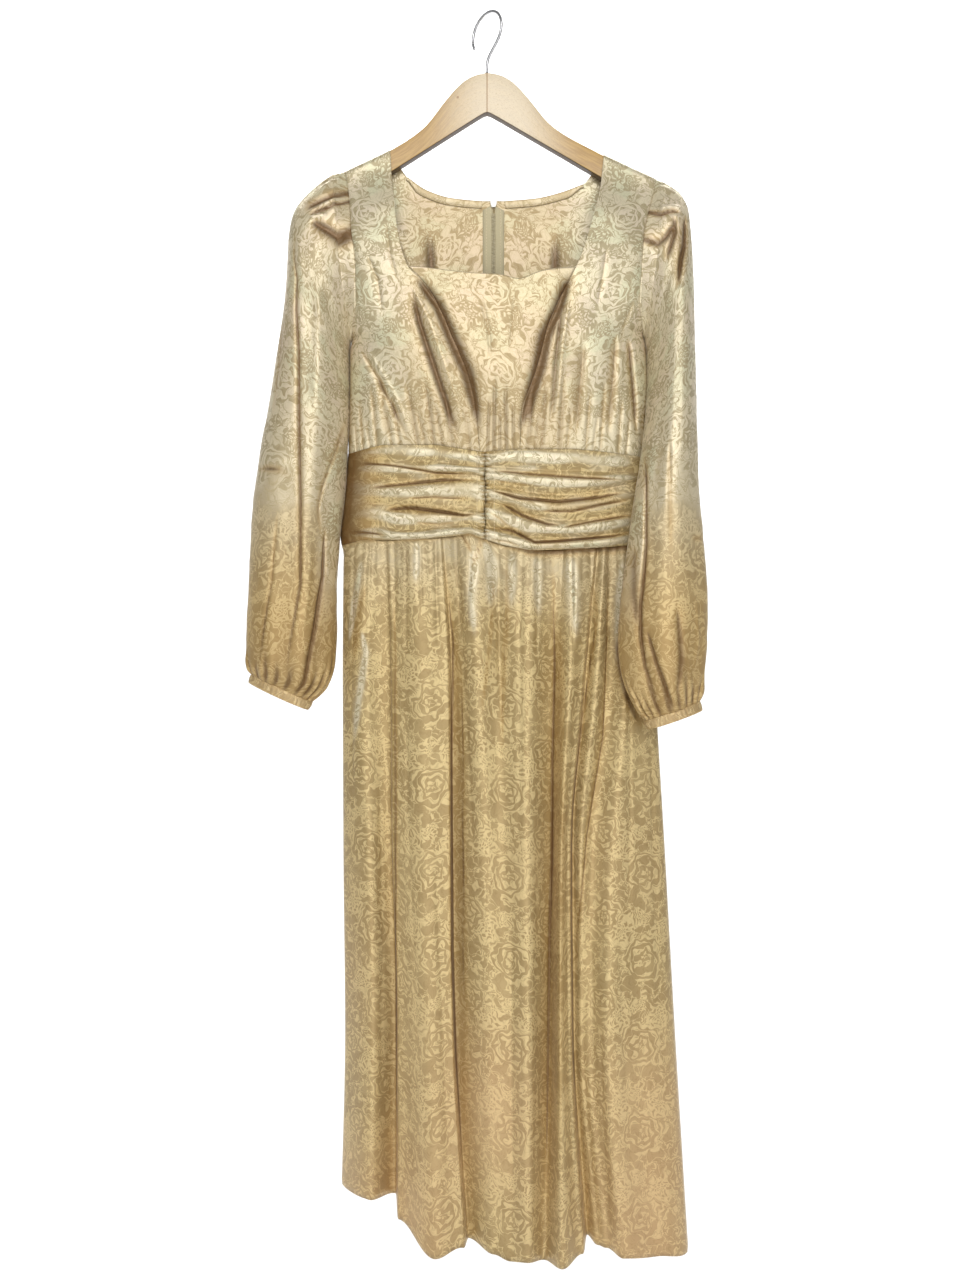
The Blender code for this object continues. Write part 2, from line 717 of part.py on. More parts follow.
def band_edge(face, x, edge):
    """Height of the band's top or bottom edge over a place."""
    points = BAND_EDGES[face, edge]
    for (low_x, low_z), (high_x, high_z) in zip(points, points[1:]):
        if x <= high_x:
            break
    return lerp(low_z, high_z, (x - low_x) / (high_x - low_x))


def fold_fall(fold, place):
    """Share of the band's height at which a fold runs, at a place along the band."""
    if place < 0.5:
        return lerp(fold[0], fold[1], ease(place / 0.5))
    return lerp(fold[1], fold[2], ease((place - 0.5) / 0.5))


def band_grid(side, face, steps):
    """Points of one half of the midriff band, from its middle to its side seam and from top to bottom."""
    folds = BAND_FOLDS[side]
    middle_x = SHIRRING_X if face == "front" else ZIP_X
    strength = 1.0 if face == "front" else BACK_FOLD_SHARE
    edge_column = 0 if side == "left" else 1
    top_x, bottom_x = body(BAND_TOP_LEVEL)[edge_column], body(BAND_BOTTOM_LEVEL)[edge_column]
    total = (len(folds) - 1) * steps
    grid = []
    for r in range(total + 1):
        index = min(r // steps, len(folds) - 2)
        part = r / steps - index
        out = lerp(folds[index][3], folds[index + 1][3], ease(part)) * strength
        line = []
        for share in BAND_COLUMNS[face, side]:
            place = 1 - share
            fall = lerp(fold_fall(folds[index], place), fold_fall(folds[index + 1], place), part)
            top = band_edge(face, lerp(middle_x, top_x, share), "top")
            bottom = band_edge(face, lerp(middle_x, bottom_x, share), "bottom")
            level = lerp(BAND_TOP_LEVEL, BAND_BOTTOM_LEVEL, fall)
            x = lerp(middle_x, body(level)[edge_column], share)
            z = lerp(top, bottom, fall)
            fade = ease((1 - share) / 0.25)
            stand = out * fade
            if face == "back":
                stand *= ease((share - 0.09) / 0.3)
            elif share == 0:
                stand += (SHIRR_DEPTH if r % 2 else -SHIRR_DEPTH) - 1.0
            y = body_y(face, x, z) + stand * (-1 if face == "front" else 1)
            line.append(Vector((x, y, z)))
        grid.append(line)
    return grid


def midriff_half(name, side, face, steps):
    grid = band_grid(side, face, steps)
    flip = (face == "front") == (side == "right")
    normals = grid_normals(grid, False, flip)
    outward_side = Vector((-1.0 if side == "left" else 1.0, 0.0, 0.0))
    for line in normals:
        line[-1] = outward_side
        line[0].x = 0
        line[0].normalize()
    for row in (normals[0], normals[-1]):
        for normal in row:
            normal.z = 0
            normal.normalize()
    edges = {"first column": SEAM_GAP / 2, "last column": SEAM_GAP / 2}
    return cloth_wall(name, pull_in(grid, edges), normals, SATIN)


def fold_columns(folds):
    """Places of a skirt panel's columns, counted along its folds."""
    places = []
    for index, fold in enumerate(folds[:-1]):
        places += [index + step / fold[1] for step in range(fold[1])]
    return places + [len(folds) - 1]


def skirt_point(face, folds, place, fall, swell):
    """A point of the skirt: place counts along the folds, fall goes from the waist to the hem."""
    index = min(int(place), len(folds) - 2)
    share = place - index
    one, other = folds[index], folds[index + 1]
    round_share = (1 - math.cos(math.pi * share)) / 2

    def read(column, fraction):
        return lerp(
            smooth_curve(SKIRT_LEVELS, one[column], fall), smooth_curve(SKIRT_LEVELS, other[column], fall), fraction
        )

    x = read(2, share)
    top_x = lerp(one[2][0], other[2][0], share)
    top = band_edge(face, top_x, "bottom") - SEAM_GAP
    z = lerp(top, lerp(one[4], other[4], round_share), fall)
    left, right, front, back, swing = body(z)
    if index == 0 and share == 0 and folds[0][0] == "left seam":
        x = left
    if place == len(folds) - 1 and folds[-1][0] == "right seam":
        x = right
    sign = -1 if face == "front" else 1
    gathers = swell * max(0.0, 1 - fall / GATHER_FALL) ** 1.3
    if face == "back":
        gathers *= ease((abs(x - ZIP_X) - 16) / 14)
    y = body_y(face, x, z) + sign * (read(3, round_share) + gathers)
    return Vector((x, y, z))


def skirt_grid(face, folds):
    """Points of a skirt panel, from its top row to the hem and from left to right."""
    places = fold_columns(folds)
    grid = []
    for fall in SKIRT_ROWS:
        line = []
        for c, place in enumerate(places):
            inside = 0 < c < len(places) - 1
            size = GATHER_DEPTH * (0.7 + 0.3 * math.sin(1.9 * c)) if inside else 0.0
            line.append(skirt_point(face, folds, place, fall, size if c % 2 else -size))
        grid.append(line)
    return grid


def skirt_panel(name, face, folds):
    grid = skirt_grid(face, folds)
    normals = grid_normals(grid, False, face == "front")
    first_side, last_side = folds[0][0], folds[-1][0]
    for r, line in enumerate(normals):
        if first_side == "left seam":
            line[0] = edge_normal([row[0] for row in grid], r, Vector((-1.0, 0.0, 0.0)))
            line[0].y = 0
            line[0].normalize()
        if last_side == "right seam":
            line[-1] = edge_normal([row[-1] for row in grid], r, Vector((1.0, 0.0, 0.0)))
            line[-1].y = 0
            line[-1].normalize()
        for end, label in ((0, first_side), (-1, last_side)):
            if label == "centre seam":
                line[end].x = 0
                line[end].normalize()
    for normal in normals[0]:
        normal.z = 0
        normal.normalize()
    edges = {"first column": SEAM_GAP / 2, "last column": SEAM_GAP / 2}
    return cloth_wall(name, pull_in(grid, edges), normals, SATIN)


def armhole_loop(side):
    """Points round the armhole seam, from the shoulder down the front and up the back."""
    heights = [z for z in bodice_rows(side) if z > UNDERARM[side][1] - 0.01]
    corners = []
    for face, order in (("front", heights[::-1]), ("back", heights[1:-1])):
        for z in order:
            x = body(z)[0 if side == "left" else 1]
            corners.append(Vector((x, body_y(face, x, z), z)))
    points = []
    for k, corner in enumerate(corners):
        ahead = corners[(k + 1) % len(corners)]
        parts = 1 + int((ahead - corner).length / SLEEVE_COLUMN_WIDTH)
        points += [corner.lerp(ahead, step / parts) for step in range(parts)]
    return points


def sleeve_stand_out(side, ring, degrees, column):
    """How far the sleeve's long folds, cap pleats and wrist gathers stand out at a point."""
    rings = len(SLEEVE_RINGS[side])
    share = ring / rings
    total = 0.0
    for cap_turn, wrist_turn, cap, elbow, wrist, half in SLEEVE_FOLDS[side]:
        turn = lerp(cap_turn, wrist_turn, share)
        size = smooth_curve((0.0, 0.25, 0.65, 1.0), (0.0, cap, elbow, wrist), share)
        away = (degrees - turn + 180) % 360 - 180
        total += size * math.exp(-((away / half) ** 2))
    alternate = 1 if column % 2 else -1
    near_cap = max(0.0, math.cos(math.radians(degrees))) * ease(ring / 1.5)
    total += alternate * CAP_PLEAT_DEPTH * near_cap * (1 - clamp(ring / CAP_PLEAT_RINGS))
    from_wrist = rings - ring
    gathered = (1 - clamp(from_wrist / WRIST_GATHER_RINGS)) * (0.75 + 0.25 * math.sin(1.7 * column))
    return total + alternate * WRIST_GATHER_DEPTH * gathered


def body_limit(side, y, z):
    """How far out the body's cloth stands at a depth and height, or None in front of it and behind it."""
    left, right = body(z)[:2]
    edge = left if side == "left" else right
    middle = (left + right) / 2
    face = "front" if y < body_y("front", edge, z) else "back"
    reach = body_y(face, lerp(edge, middle, 0.9), z)
    if abs(y) > abs(reach):
        return None
    near, far = 0.0, 0.9
    for _ in range(20):
        share = (near + far) / 2
        if abs(body_y(face, lerp(edge, middle, share), z) - y) < 0.01:
            break
        inside = body_y(face, lerp(edge, middle, share), z) < y
        if inside == (face == "front"):
            far = share
        else:
            near = share
    return lerp(edge, middle, share)


def keep_clear(side, point):
    """Moves a point of a sleeve out until it is clear of the body's cloth."""
    if point.z > UNDERARM[side][1]:
        return
    limit = body_limit(side, point.y, point.z)
    if limit is None:
        return
    if side == "left":
        point.x = min(point.x, limit - SLEEVE_CLEAR)
    else:
        point.x = max(point.x, limit + SLEEVE_CLEAR)


def sleeve_grid(side):
    """Rings of points from the armhole to the wrist."""
    first = armhole_loop(side)
    count = len(first)
    grid = [first]
    start_turn = [loop_turn(side, point) for point in first]
    for k, (outer_x, outer_z, inner_x, inner_z, y, depth) in enumerate(SLEEVE_RINGS[side], start=1):
        outer, inner = Vector((outer_x, y, outer_z)), Vector((inner_x, y, inner_z))
        centre, reach = (outer + inner) / 2, (outer - inner) / 2
        even = ease(k / 5)
        line = []
        for n in range(count):
            turn = lerp(start_turn[n], 2 * math.pi * n / count, even)
            across = Vector((0.0, -depth * math.sin(turn), 0.0))
            point = centre + reach * math.cos(turn) + across
            steep = reach.normalized() * math.cos(turn) / reach.length
            away = (steep + Vector((0.0, -math.sin(turn) / depth, 0.0))).normalized()
            point += away * sleeve_stand_out(side, k, math.degrees(turn), n)
            keep_clear(side, point)
            line.append(point)
        grid.append(line)
    return grid


def loop_turn(side, point):
    """Angle round the armhole of a point on it: 0 at the shoulder, half a turn at the underarm."""
    low, high = UNDERARM[side][1], SHOULDER_POINT[side][1]
    turn = math.acos(clamp(2 * (point.z - low) / (high - low) - 1, -1, 1))
    return turn if point.y <= 0 else 2 * math.pi - turn


def sleeve(side):
    grid = sleeve_grid(side)
    normals = grid_normals(grid, True, side == "left")
    sign = -1 if side == "left" else 1
    low = UNDERARM[side][1]
    for n, point in enumerate(grid[0]):
        normal = normals[0][n]
        normal.x = 0
        if point.z > SHOULDER_POINT[side][1] - 0.5:
            normals[0][n] = shoulder_normal(side)
        else:
            normal.normalize()
        near = 1 - clamp((point.z - low) / 25)
        point.x += sign * (ARMHOLE_GAP / 2 + (UNDERARM_GAP - ARMHOLE_GAP) * near)
    centre, reach, down = wrist(side)
    for normal in normals[-1]:
        normal -= down * normal.dot(down)
        normal.normalize()
    return cloth_wall("sleeve_" + side, grid, normals, SATIN, closed=True)


def wrist(side):
    """Centre of the sleeve's last ring, its longer half and the direction down the arm."""
    outer_x, outer_z, inner_x, inner_z, y, depth = SLEEVE_RINGS[side][-1]
    outer, inner = Vector((outer_x, y, outer_z)), Vector((inner_x, y, inner_z))
    reach = (outer - inner) / 2
    down = Vector((reach.z, 0.0, -reach.x)).normalized()
    return (outer + inner) / 2, reach, down if down.z < 0 else -down


def cuff(side):
    """The narrow elastic cuff at the end of a sleeve."""
    centre, reach, down = wrist(side)
    depth = SLEEVE_RINGS[side][-1][5]
    grid = []
    for fall in (0.0, 0.5, 1.0):
        line = []
        for n in range(CUFF_COLUMNS):
            turn = 2 * math.pi * n / CUFF_COLUMNS
            tight = 1 - 0.02 * fall
            point = centre + reach * math.cos(turn) * tight
            point += Vector((0.0, -depth * tight * math.sin(turn), 0.0))
            point += down * (SEAM_GAP + CUFF_HEIGHT * fall)
            line.append(point)
        grid.append(line)
    normals = grid_normals(grid, True, side == "left")
    return cloth_wall("cuff_" + side, grid, normals, SATIN, closed=True, thick=2.0)


def back_inside(x, z, depth):
    """A point and direction at a depth inside the back's cloth."""
    normal = surface_normal("back", x, z)
    return Vector((x, body_y("back", x, z), z)) - normal * depth, normal


def neck_binding(side):
    """The strip inside the back neck edge, from the zip to the shoulder."""
    edge = [point for point in BACK_EDGE[side] if point[1] >= ZIP_TOP]
    sign = -1 if side == "left" else 1
    edge[0] = (ZIP_X + sign * (TAPE_WIDTH + 1.0), edge[0][1])
    depth = WALL / 2 + SEAM_GAP + BINDING_THICK / 2
    grid, directions = [], []
    for k, (x, z) in enumerate(edge):
        ahead = edge[min(k + 1, len(edge) - 1)]
        behind = edge[max(k - 1, 0)]
        along = Vector((ahead[0] - behind[0], 0.0, ahead[1] - behind[1])).normalized()
        down = Vector((along.z, 0.0, -along.x))
        if down.z > 0:
            down = -down
        line, ways = [], []
        for fall in (0.6, BINDING_WIDTH):
            place = Vector((x, 0.0, z)) + down * fall
            point, normal = back_inside(place.x, place.z, depth)
            line.append(point)
            ways.append(normal)
        grid.append(line)
        directions.append(ways)
    return cloth_wall("neck_binding_" + side, grid, directions, SATIN, thick=BINDING_THICK)


def beside_zip(side):
    """Pairs of points of the back's panels beside the zip, on its edge and one column in, from the neck down."""
    bodice = bodice_grid(side, "back", BACK_COLUMNS, 0.0)[:ZIP_ROWS]
    pairs = [(line[0], line[1]) for line in reversed(bodice)]
    pairs += [(line[0], line[1]) for line in band_grid(side, "back", 1)[1:-1]]
    skirt = skirt_grid("back", SKIRT_BACK_FOLDS[side])
    end, beside = (-1, -2) if side == "left" else (0, 1)
    return pairs + [(line[end], line[beside]) for line in skirt]


def zip_tape(side):
    """One half of the zip's tape, inside the back from the neck to below the waist."""
    sign = -1 if side == "left" else 1
    inward = WALL / 2 + SEAM_GAP + TAPE_THICK / 2
    pairs = beside_zip(side)
    start = (ZIP_TOP - TAPE_DROP - pairs[0][0].z) / (pairs[1][0].z - pairs[0][0].z)
    pairs[0] = tuple(pairs[0][k].lerp(pairs[1][k], start) for k in (0, 1))
    pairs = [pair for pair in pairs if pair[0].z > ZIP_END]
    grid = []
    for edge, beside in pairs:
        near = PLACKET_HALF if edge.z > ZIP_TOP - PLACKET_DROP else SEAM_GAP / 2
        width = abs(beside.x - edge.x)
        line = [edge.lerp(beside, near / width), edge.lerp(beside, TAPE_WIDTH / width)]
        grid.append(line)
    normals = grid_normals(grid, False, side == "left")
    for ways, line in zip(normals, grid):
        for way, point in zip(ways, line):
            way.x = 0
            way.normalize()
            point -= way * inward
    return cloth_wall("zip_tape_" + side, grid, normals, TAPE, thick=TAPE_THICK)


def prism(name, outline, along, low, high, finish):
    """A straight solid: an outline in the other two axes, drawn along X or Y."""
    count = len(outline)
    vertices = []
    for end in (low, high):
        for first, second in outline:
            vertices.append(Vector((end, first, second)) if along == "X" else Vector((first, end, second)))
    faces = [tuple(range(count)), tuple(range(2 * count - 1, count - 1, -1))]
    for k in range(count):
        n = (k + 1) % count
        faces.append((k, k + count, n + count, n))
    thing = add_object(name, vertices, faces, finish)
    thing.data.shade_flat()
    set_outward(thing)
    return thing


def join(base, other):
    """Unites a solid with another and drops the other."""
    union = base.modifiers.new("union", "BOOLEAN")
    union.operation = "UNION"
    union.solver = "EXACT"
    union.object = other
    graph = bpy.context.evaluated_depsgraph_get()
    mesh = bpy.data.meshes.new_from_object(base.evaluated_get(graph))
    base.modifiers.clear()
    base.data = mesh
    bpy.data.objects.remove(other)


def slider_place():
    """Turns the slider's own coordinates, with the cloth at y = 0, into the dress's."""
    z = ZIP_TOP + SLIDER_ABOVE_EDGE - SLIDER_HEIGHT / 2
    reach = SLIDER_HEIGHT / 2
    slope = (body_y("back", ZIP_X, z - reach) - body_y("back", ZIP_X, z + reach)) / (2 * reach)
    place = Matrix.Translation(Vector((ZIP_X, body_y("back", ZIP_X, z), z)))
    return place @ Matrix.Rotation(math.atan(slope), 4, "X")


def bridge_face():
    """Depth of the outer wing's face, in the slider's own coordinates."""
    return WALL / 2 + SLIDER_CLEAR + WING_THICK


def zip_slider():
    """The slider: one wing inside the cloth, one outside, the neck between them and the bridge."""
    half, tall = SLIDER_WIDTH / 2, SLIDER_HEIGHT / 2
    shield = [(half, tall - 1), (half - 1.2, tall), (1.2 - half, tall), (-half, tall - 1), (-half, 0)]
    shield += [(1.2 - half, 0.7 - tall), (2 - half, -tall), (half - 2, -tall), (half - 1.2, 0.7 - tall), (half, 0)]
    inside = -WALL / 2 - SEAM_GAP - TAPE_THICK - SLIDER_CLEAR
    slider = prism("zip_slider", shield, "Y", inside - SLIDER_THICK, inside, WHITE)
    outside, face = WALL / 2 + SLIDER_CLEAR, bridge_face()
    small = [(x * 0.75, z * 0.9) for x, z in shield]
    join(slider, prism("outer wing", small, "Y", outside, face, WHITE))
    neck = [(0.8, 3.6), (-0.8, 3.6), (-0.8, -1.5), (0.8, -1.5)]
    join(slider, prism("neck", neck, "Y", inside - 0.5, outside + 0.5, WHITE))
    arch = [(-0.4, 3.7), (1.6, 3.7), (2.7, 2.7), (2.7, -2.7), (1.6, -3.7), (-0.4, -3.7), (-0.4, -2.6)]
    arch += [(1.3, -2.6), (TUNNEL, -2.1), (TUNNEL, 2.1), (1.3, 2.6), (-0.4, 2.6)]
    bridge = [(face + y, z) for y, z in arch]
    join(slider, prism("bridge", bridge, "X", -BRIDGE_HALF, BRIDGE_HALF, WHITE))
    place(slider, slider_place())
    return slider


def place(thing, matrix):
    """Moves a mesh made in millimetres about its own origin to its place in the dress."""
    moved = matrix.copy()
    moved.translation *= MM
    thing.data.transform(moved)


def zip_pull():
    """The pull tab: a cross bar under the bridge, two rails beside it and the tab, lying on the cloth."""
    rail, length, gap = PULL_WIDTH / 2, PULL_LENGTH, BRIDGE_HALF + 0.4
    outline = [(-rail, 0), (-gap, 0), (-gap, -5.4), (gap, -5.4), (gap, 0), (rail, 0), (rail, -6.5)]
    outline += [(rail + 0.6, 3 - length), (rail - 0.6, -length), (0.6 - rail, -length), (-rail - 0.6, 3 - length)]
    outline += [(-rail, -6.5)]
    tab = prism("zip_pull", outline, "Y", -PULL_THICK / 2, PULL_THICK / 2, WHITE)
    radius = PULL_THICK / 2 + 0.08
    rim = [2 * math.pi * (k + 0.5) / 12 for k in range(12)]
    bar = [(radius * math.cos(turn), radius * math.sin(turn)) for turn in rim]
    join(tab, prism("bar", bar, "X", 0.03 - rail, rail - 0.03, WHITE))
    tab.data.transform(Matrix.Rotation(math.radians(PULL_LEAN), 4, "X"))
    axis = slider_place() @ Vector((0.0, bridge_face() + TUNNEL / 2, 0.0))
    tab.location = axis * MM
    return tab


def hanger_section(distance, top):
    """Rounded section of the hanger: its rim points as (y, z)."""
    underside = HANGER_APEX - HANGER_UNDERSIDE_SLOPE * abs(distance)
    flat_end = HANGER_END_BOTTOM
    bottom = max(underside, flat_end)
    half, turn = HANGER_HALF_THICK, min(HANGER_EDGE_ROUND, (top - bottom) / 2.5)
    rim = []
    for corner_y, corner_z, start in (
        (half - turn, top - turn, 0),
        (-half + turn, top - turn, 90),
        (-half + turn, bottom + turn, 180),
        (half - turn, bottom + turn, 270),
    ):
        for step in range(3):
            angle = math.radians(start + step * 45)
            rim.append((corner_y + turn * math.cos(angle), corner_z + turn * math.sin(angle)))
    return rim


def hanger_wood():
    """The bow of the hanger, from its left end to its right end."""
    stations = [(-d, z) for d, z in reversed(HANGER_TOP[1:])] + list(HANGER_TOP)
    lean = math.radians(HANGER_LEAN)
    vertices, faces = [], []
    for distance, top in stations:
        for y, z in hanger_section(distance, top):
            vertices.append(Vector((distance * math.cos(lean), y, z + distance * math.sin(lean))))
    rim = 12
    for s in range(len(stations) - 1):
        for k in range(rim):
            n = (k + 1) % rim
            faces.append((s * rim + k, s * rim + n, (s + 1) * rim + n, (s + 1) * rim + k))
    last = (len(stations) - 1) * rim
    faces.append(tuple(range(rim)))
    faces.append(tuple(range(last + rim - 1, last - 1, -1)))
    thing = add_object("hanger_wood", vertices, faces, WOOD)
    set_outward(thing)
    return thing


def tube(name, path, radius, sides, finish):
    """A round bar that follows a path, with its last end rounded off."""
    directions = []
    for k, point in enumerate(path):
        ahead, behind = path[min(k + 1, len(path) - 1)], path[max(k - 1, 0)]
        directions.append((ahead - behind).normalized())
    across = directions[0].orthogonal().normalized()
    vertices, rings = [], []

    def ring(centre, direction, size):
        nonlocal across
        across = (across - direction * across.dot(direction)).normalized()
        other = direction.cross(across)
        rings.append(len(vertices))
        for k in range(sides):
            turn = 2 * math.pi * k / sides
            vertices.append(centre + (across * math.cos(turn) + other * math.sin(turn)) * size)

    for point, direction in zip(path, directions):
        ring(point, direction, radius)
    for turn in (35, 65):
        angle = math.radians(turn)
        ring(path[-1] + directions[-1] * radius * math.sin(angle), directions[-1], radius * math.cos(angle))
    faces = []
    for low, high in zip(rings, rings[1:]):
        for k in range(sides):
            n = (k + 1) % sides
            faces.append((low + k, low + n, high + n, high + k))
    faces.append(tuple(range(sides)))
    faces.append(tuple(range(rings[-1] + sides - 1, rings[-1] - 1, -1)))
    thing = add_object(name, vertices, faces, finish)
    set_outward(thing)
    return thing


def hanger_hook():
    """The wire hook: a short stem, a bend and the bow, turned round the stem."""
    centre_z = HOOK_WIRE / 2 - HOOK_RADIUS
    flat = [(0.0, HANGER_TOP[0][1] + SEAM_GAP), (0.0, -65.0), (0.4, -58.5), (3.2, -52.5), (8.4, -47.2)]
    for step in range(20):
        angle = math.radians(lerp(-54, HOOK_TIP_ANGLE, step / 19))
        flat.append((HOOK_RADIUS * math.cos(angle), centre_z + HOOK_RADIUS * math.sin(angle)))
    turn = math.radians(HOOK_TURN)
    path = [Vector((reach * math.cos(turn), -reach * math.sin(turn), z)) for reach, z in flat]
    return tube("hanger_hook", path, HOOK_WIRE / 2, 10, STEEL)


def main():
    for thing in list(bpy.data.objects):
        bpy.data.objects.remove(thing)
    hanger_wood()
    hanger_hook()
    centre_front()
    for side in ("left", "right"):
        bodice_panel("bodice_side_front_" + side, side, "front", SIDE_FRONT_COLUMNS[side], 1.8)
        bodice_panel("bodice_back_" + side, side, "back", BACK_COLUMNS, 0.0)
        midriff_half("midriff_front_" + side, side, "front", 2)
        midriff_half("midriff_back_" + side, side, "back", 1)
        skirt_panel("skirt_back_" + side, "back", SKIRT_BACK_FOLDS[side])
        sleeve(side)
        cuff(side)
        neck_binding(side)
        zip_tape(side)
    skirt_panel("skirt_front", "front", SKIRT_FRONT_FOLDS)
    zip_slider()
    zip_pull()


main()
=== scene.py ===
# %% [markdown]
# # A long satin dress on a wooden hanger
# The plain model gives each cut piece of the dress as a rigid wall of cloth. This lesson lays fine cloth
# over those walls, with its folds, gathers and stitches, adds the woven pattern, and lights the whole.
# Lengths in the tables are millimetres, and they are turned into metres when a mesh is made. Left and right
# are as seen from the front, which faces -Y.

import math

import bpy
import numpy as np
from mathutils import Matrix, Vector


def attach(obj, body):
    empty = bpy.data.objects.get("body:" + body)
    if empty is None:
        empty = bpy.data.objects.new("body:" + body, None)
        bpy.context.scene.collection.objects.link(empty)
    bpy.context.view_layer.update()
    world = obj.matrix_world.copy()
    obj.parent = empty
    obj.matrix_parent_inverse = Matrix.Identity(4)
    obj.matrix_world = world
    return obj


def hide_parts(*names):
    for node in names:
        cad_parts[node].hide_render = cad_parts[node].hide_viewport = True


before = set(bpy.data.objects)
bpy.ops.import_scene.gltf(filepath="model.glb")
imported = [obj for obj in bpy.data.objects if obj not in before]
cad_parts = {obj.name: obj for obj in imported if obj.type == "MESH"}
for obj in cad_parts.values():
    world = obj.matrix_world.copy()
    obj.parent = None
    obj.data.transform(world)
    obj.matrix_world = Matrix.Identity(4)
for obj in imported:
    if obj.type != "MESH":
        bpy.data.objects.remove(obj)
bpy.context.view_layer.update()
MM = 0.001

# %% [markdown]
# ## Curves, shares and soft noise
# Cloth hangs in smooth lines through a few places that one can read off by eye. A curve that never
# overshoots its points keeps the lines quiet between them. Soft noise is a sheet of random heights joined
# smoothly, and it gives the small unevenness that no table could hold.


# %% Curves and noise
def mix(a, b, share):
    """Between a and b, by a share from 0 to 1."""
    return a + (b - a) * share


def ease(share):
    """Goes from 0 to 1 with a level start and end."""
    share = np.clip(share, 0.0, 1.0)
    return share * share * (3 - 2 * share)


def curve(xs, ys):
    """A smooth curve through points, as a function."""
    xs, ys = np.asarray(xs, float), np.asarray(ys, float)
    step = np.diff(xs)
    slope = np.diff(ys) / step
    tangent = np.zeros(len(xs))
    tangent[0], tangent[-1] = slope[0], slope[-1]
    product, total = slope[:-1] * slope[1:], slope[:-1] + slope[1:]
    same_way = product > 0
    tangent[1:-1][same_way] = 2 * product[same_way] / total[same_way]

    def read(x):
        x = np.clip(x, xs[0], xs[-1])
        i = np.clip(np.searchsorted(xs, x, side="right") - 1, 0, len(step) - 1)
        h = step[i]
        t = (x - xs[i]) / h
        start = ys[i] * (1 + 2 * t) * (1 - t) ** 2 + tangent[i] * h * t * (1 - t) ** 2
        return start + ys[i + 1] * t * t * (3 - 2 * t) + tangent[i + 1] * h * t * t * (t - 1)

    return read


def distances(line):
    """How far along a line of points each point is."""
    return np.concatenate([[0], np.cumsum(np.linalg.norm(np.diff(line, axis=0), axis=1))])


def read_along(line, run, places):
    """Points at distances along a line of points."""
    return np.stack([np.interp(places, run, line[:, k]) for k in range(3)], axis=-1)


def soft_noise(a, b, seed):
    """Smooth random heights from -1 to 1, one hill to each unit."""
    table = np.random.default_rng(seed).uniform(-1, 1, (61, 61))
    i, j = np.floor(a).astype(int), np.floor(b).astype(int)
    s, t = ease(a - i), ease(b - j)

    def at(p, q):
        return table[p % 61, q % 61]

    return mix(mix(at(i, j), at(i + 1, j), s), mix(at(i, j + 1), at(i + 1, j + 1), s), t)


def furrows(a, b, table):
    """Relief of furrows and ridges at places (a, b).

    Each one is a line of points with how deep it is, its half width and how much steeper its first side is.
    """
    relief = np.zeros(np.broadcast(a, b).shape)
    for depth, half, skew, line in table:
        points = np.asarray(line, float)
        lengths = np.hypot(*np.diff(points, axis=0).T)
        total, before = lengths.sum(), 0.0
        nearest = np.full(relief.shape, 1e9)
        along, side = np.zeros(relief.shape), np.ones(relief.shape)
        for (a0, b0), (a1, b1), length in zip(points[:-1], points[1:], lengths):
            if length == 0:
                continue
            da, db = (a1 - a0) / length, (b1 - b0) / length
            run = np.clip((a - a0) * da + (b - b0) * db, 0, length)
            off_a, off_b = a - a0 - run * da, b - b0 - run * db
            away = np.hypot(off_a, off_b)
            closer = away < nearest
            nearest = np.where(closer, away, nearest)
            along = np.where(closer, (before + run) / total, along)
            side = np.where(closer, np.sign(off_a * db - off_b * da), side)
            before += length
        width = half * (1 + 0.55 * skew * side) * (0.55 + 0.45 * np.sin(np.pi * along))
        taper = ease(along / 0.16) * ease((1 - along) / 0.3)
        relief -= depth * taper / (1 + (nearest / width) ** 2) ** 1.6
    return relief


def widened(table, times):
    """The same furrows, so many times as wide."""
    return [(depth, half * times, skew, line) for depth, half, skew, line in table]


# %% [markdown]
# ## The body of the dress
# Worn, a dress is a tube. On a hanger the tube falls flat, so its section is a lens with soft edges. The
# table gives the two side seams, the depth of front and back, and how far the right edge swings forward.
# Over the hanger's shoulders the cloth turns in a small half round, and at the armholes the tube stays open.

# %% Body tube
SIDES = ("left", "right")
WALL = 1.2
LENS_POWER = 2.2
SHOULDER_TURN = 7.4
BODY = (
    # z, left, right, front, back, swing
    (-1460, -179, 235, 62, 60, 28),
    (-1212, -173, 221, 58, 54, 22),
    (-1008, -174, 211, 50, 47, 14),
    (-800, -174, 200, 38, 36, 8),
    (-690, -173, 196, 30, 28, 5),
    (-637, -172, 195, 25, 23, 4),
    (-580, -167, 193, 25, 23, 3),
    (-525, -162, 191, 26, 24, 2),
    (-480, -161, 190, 36, 28, 0),
    (-436, -160, 189, 42, 30, 0),
    (-390, -160, 186, 42, 30, 0),
    (-350, -154, 179, 41, 28, 0),
    (-310, -154, 181, 38, 25, 0),
    (-274, -159, 184, 32, 21, 0),
    (-240, -162, 192, 24, 17, 0),
    (-215, -165, 199, 16, 13, 0),
    (-198.5, -168, 202, 12, 11, 0),
    (-189, -169, 203, 10, 10, 0),
    (-160, -172, 206, 8, 8, 0),
)
NECK_POINT = {"left": (-116, -163.2), "right": (140, -168.6)}
SHOULDER_POINT = {"left": (-169, -189), "right": (202, -198.5)}
UNDERARM = {"left": (-160, -391), "right": (185.5, -385)}
ARMHOLE_HALF_DEPTH = {"front": 28, "back": 24}
ARMHOLE_GROWTH = 110
UNDERARM_TURN = 55
ZIP_X = 8.0

body_curves = [curve([row[0] for row in BODY], [row[k] for row in BODY]) for k in range(6)]
SIDE_SWELL = {
    # the most that the side leans out, the upper and lower end of the stretch and how long it fades there
    "left": (4.4, -385, -650, 24),
    "right": (3.0, -380, -490, 24),
}


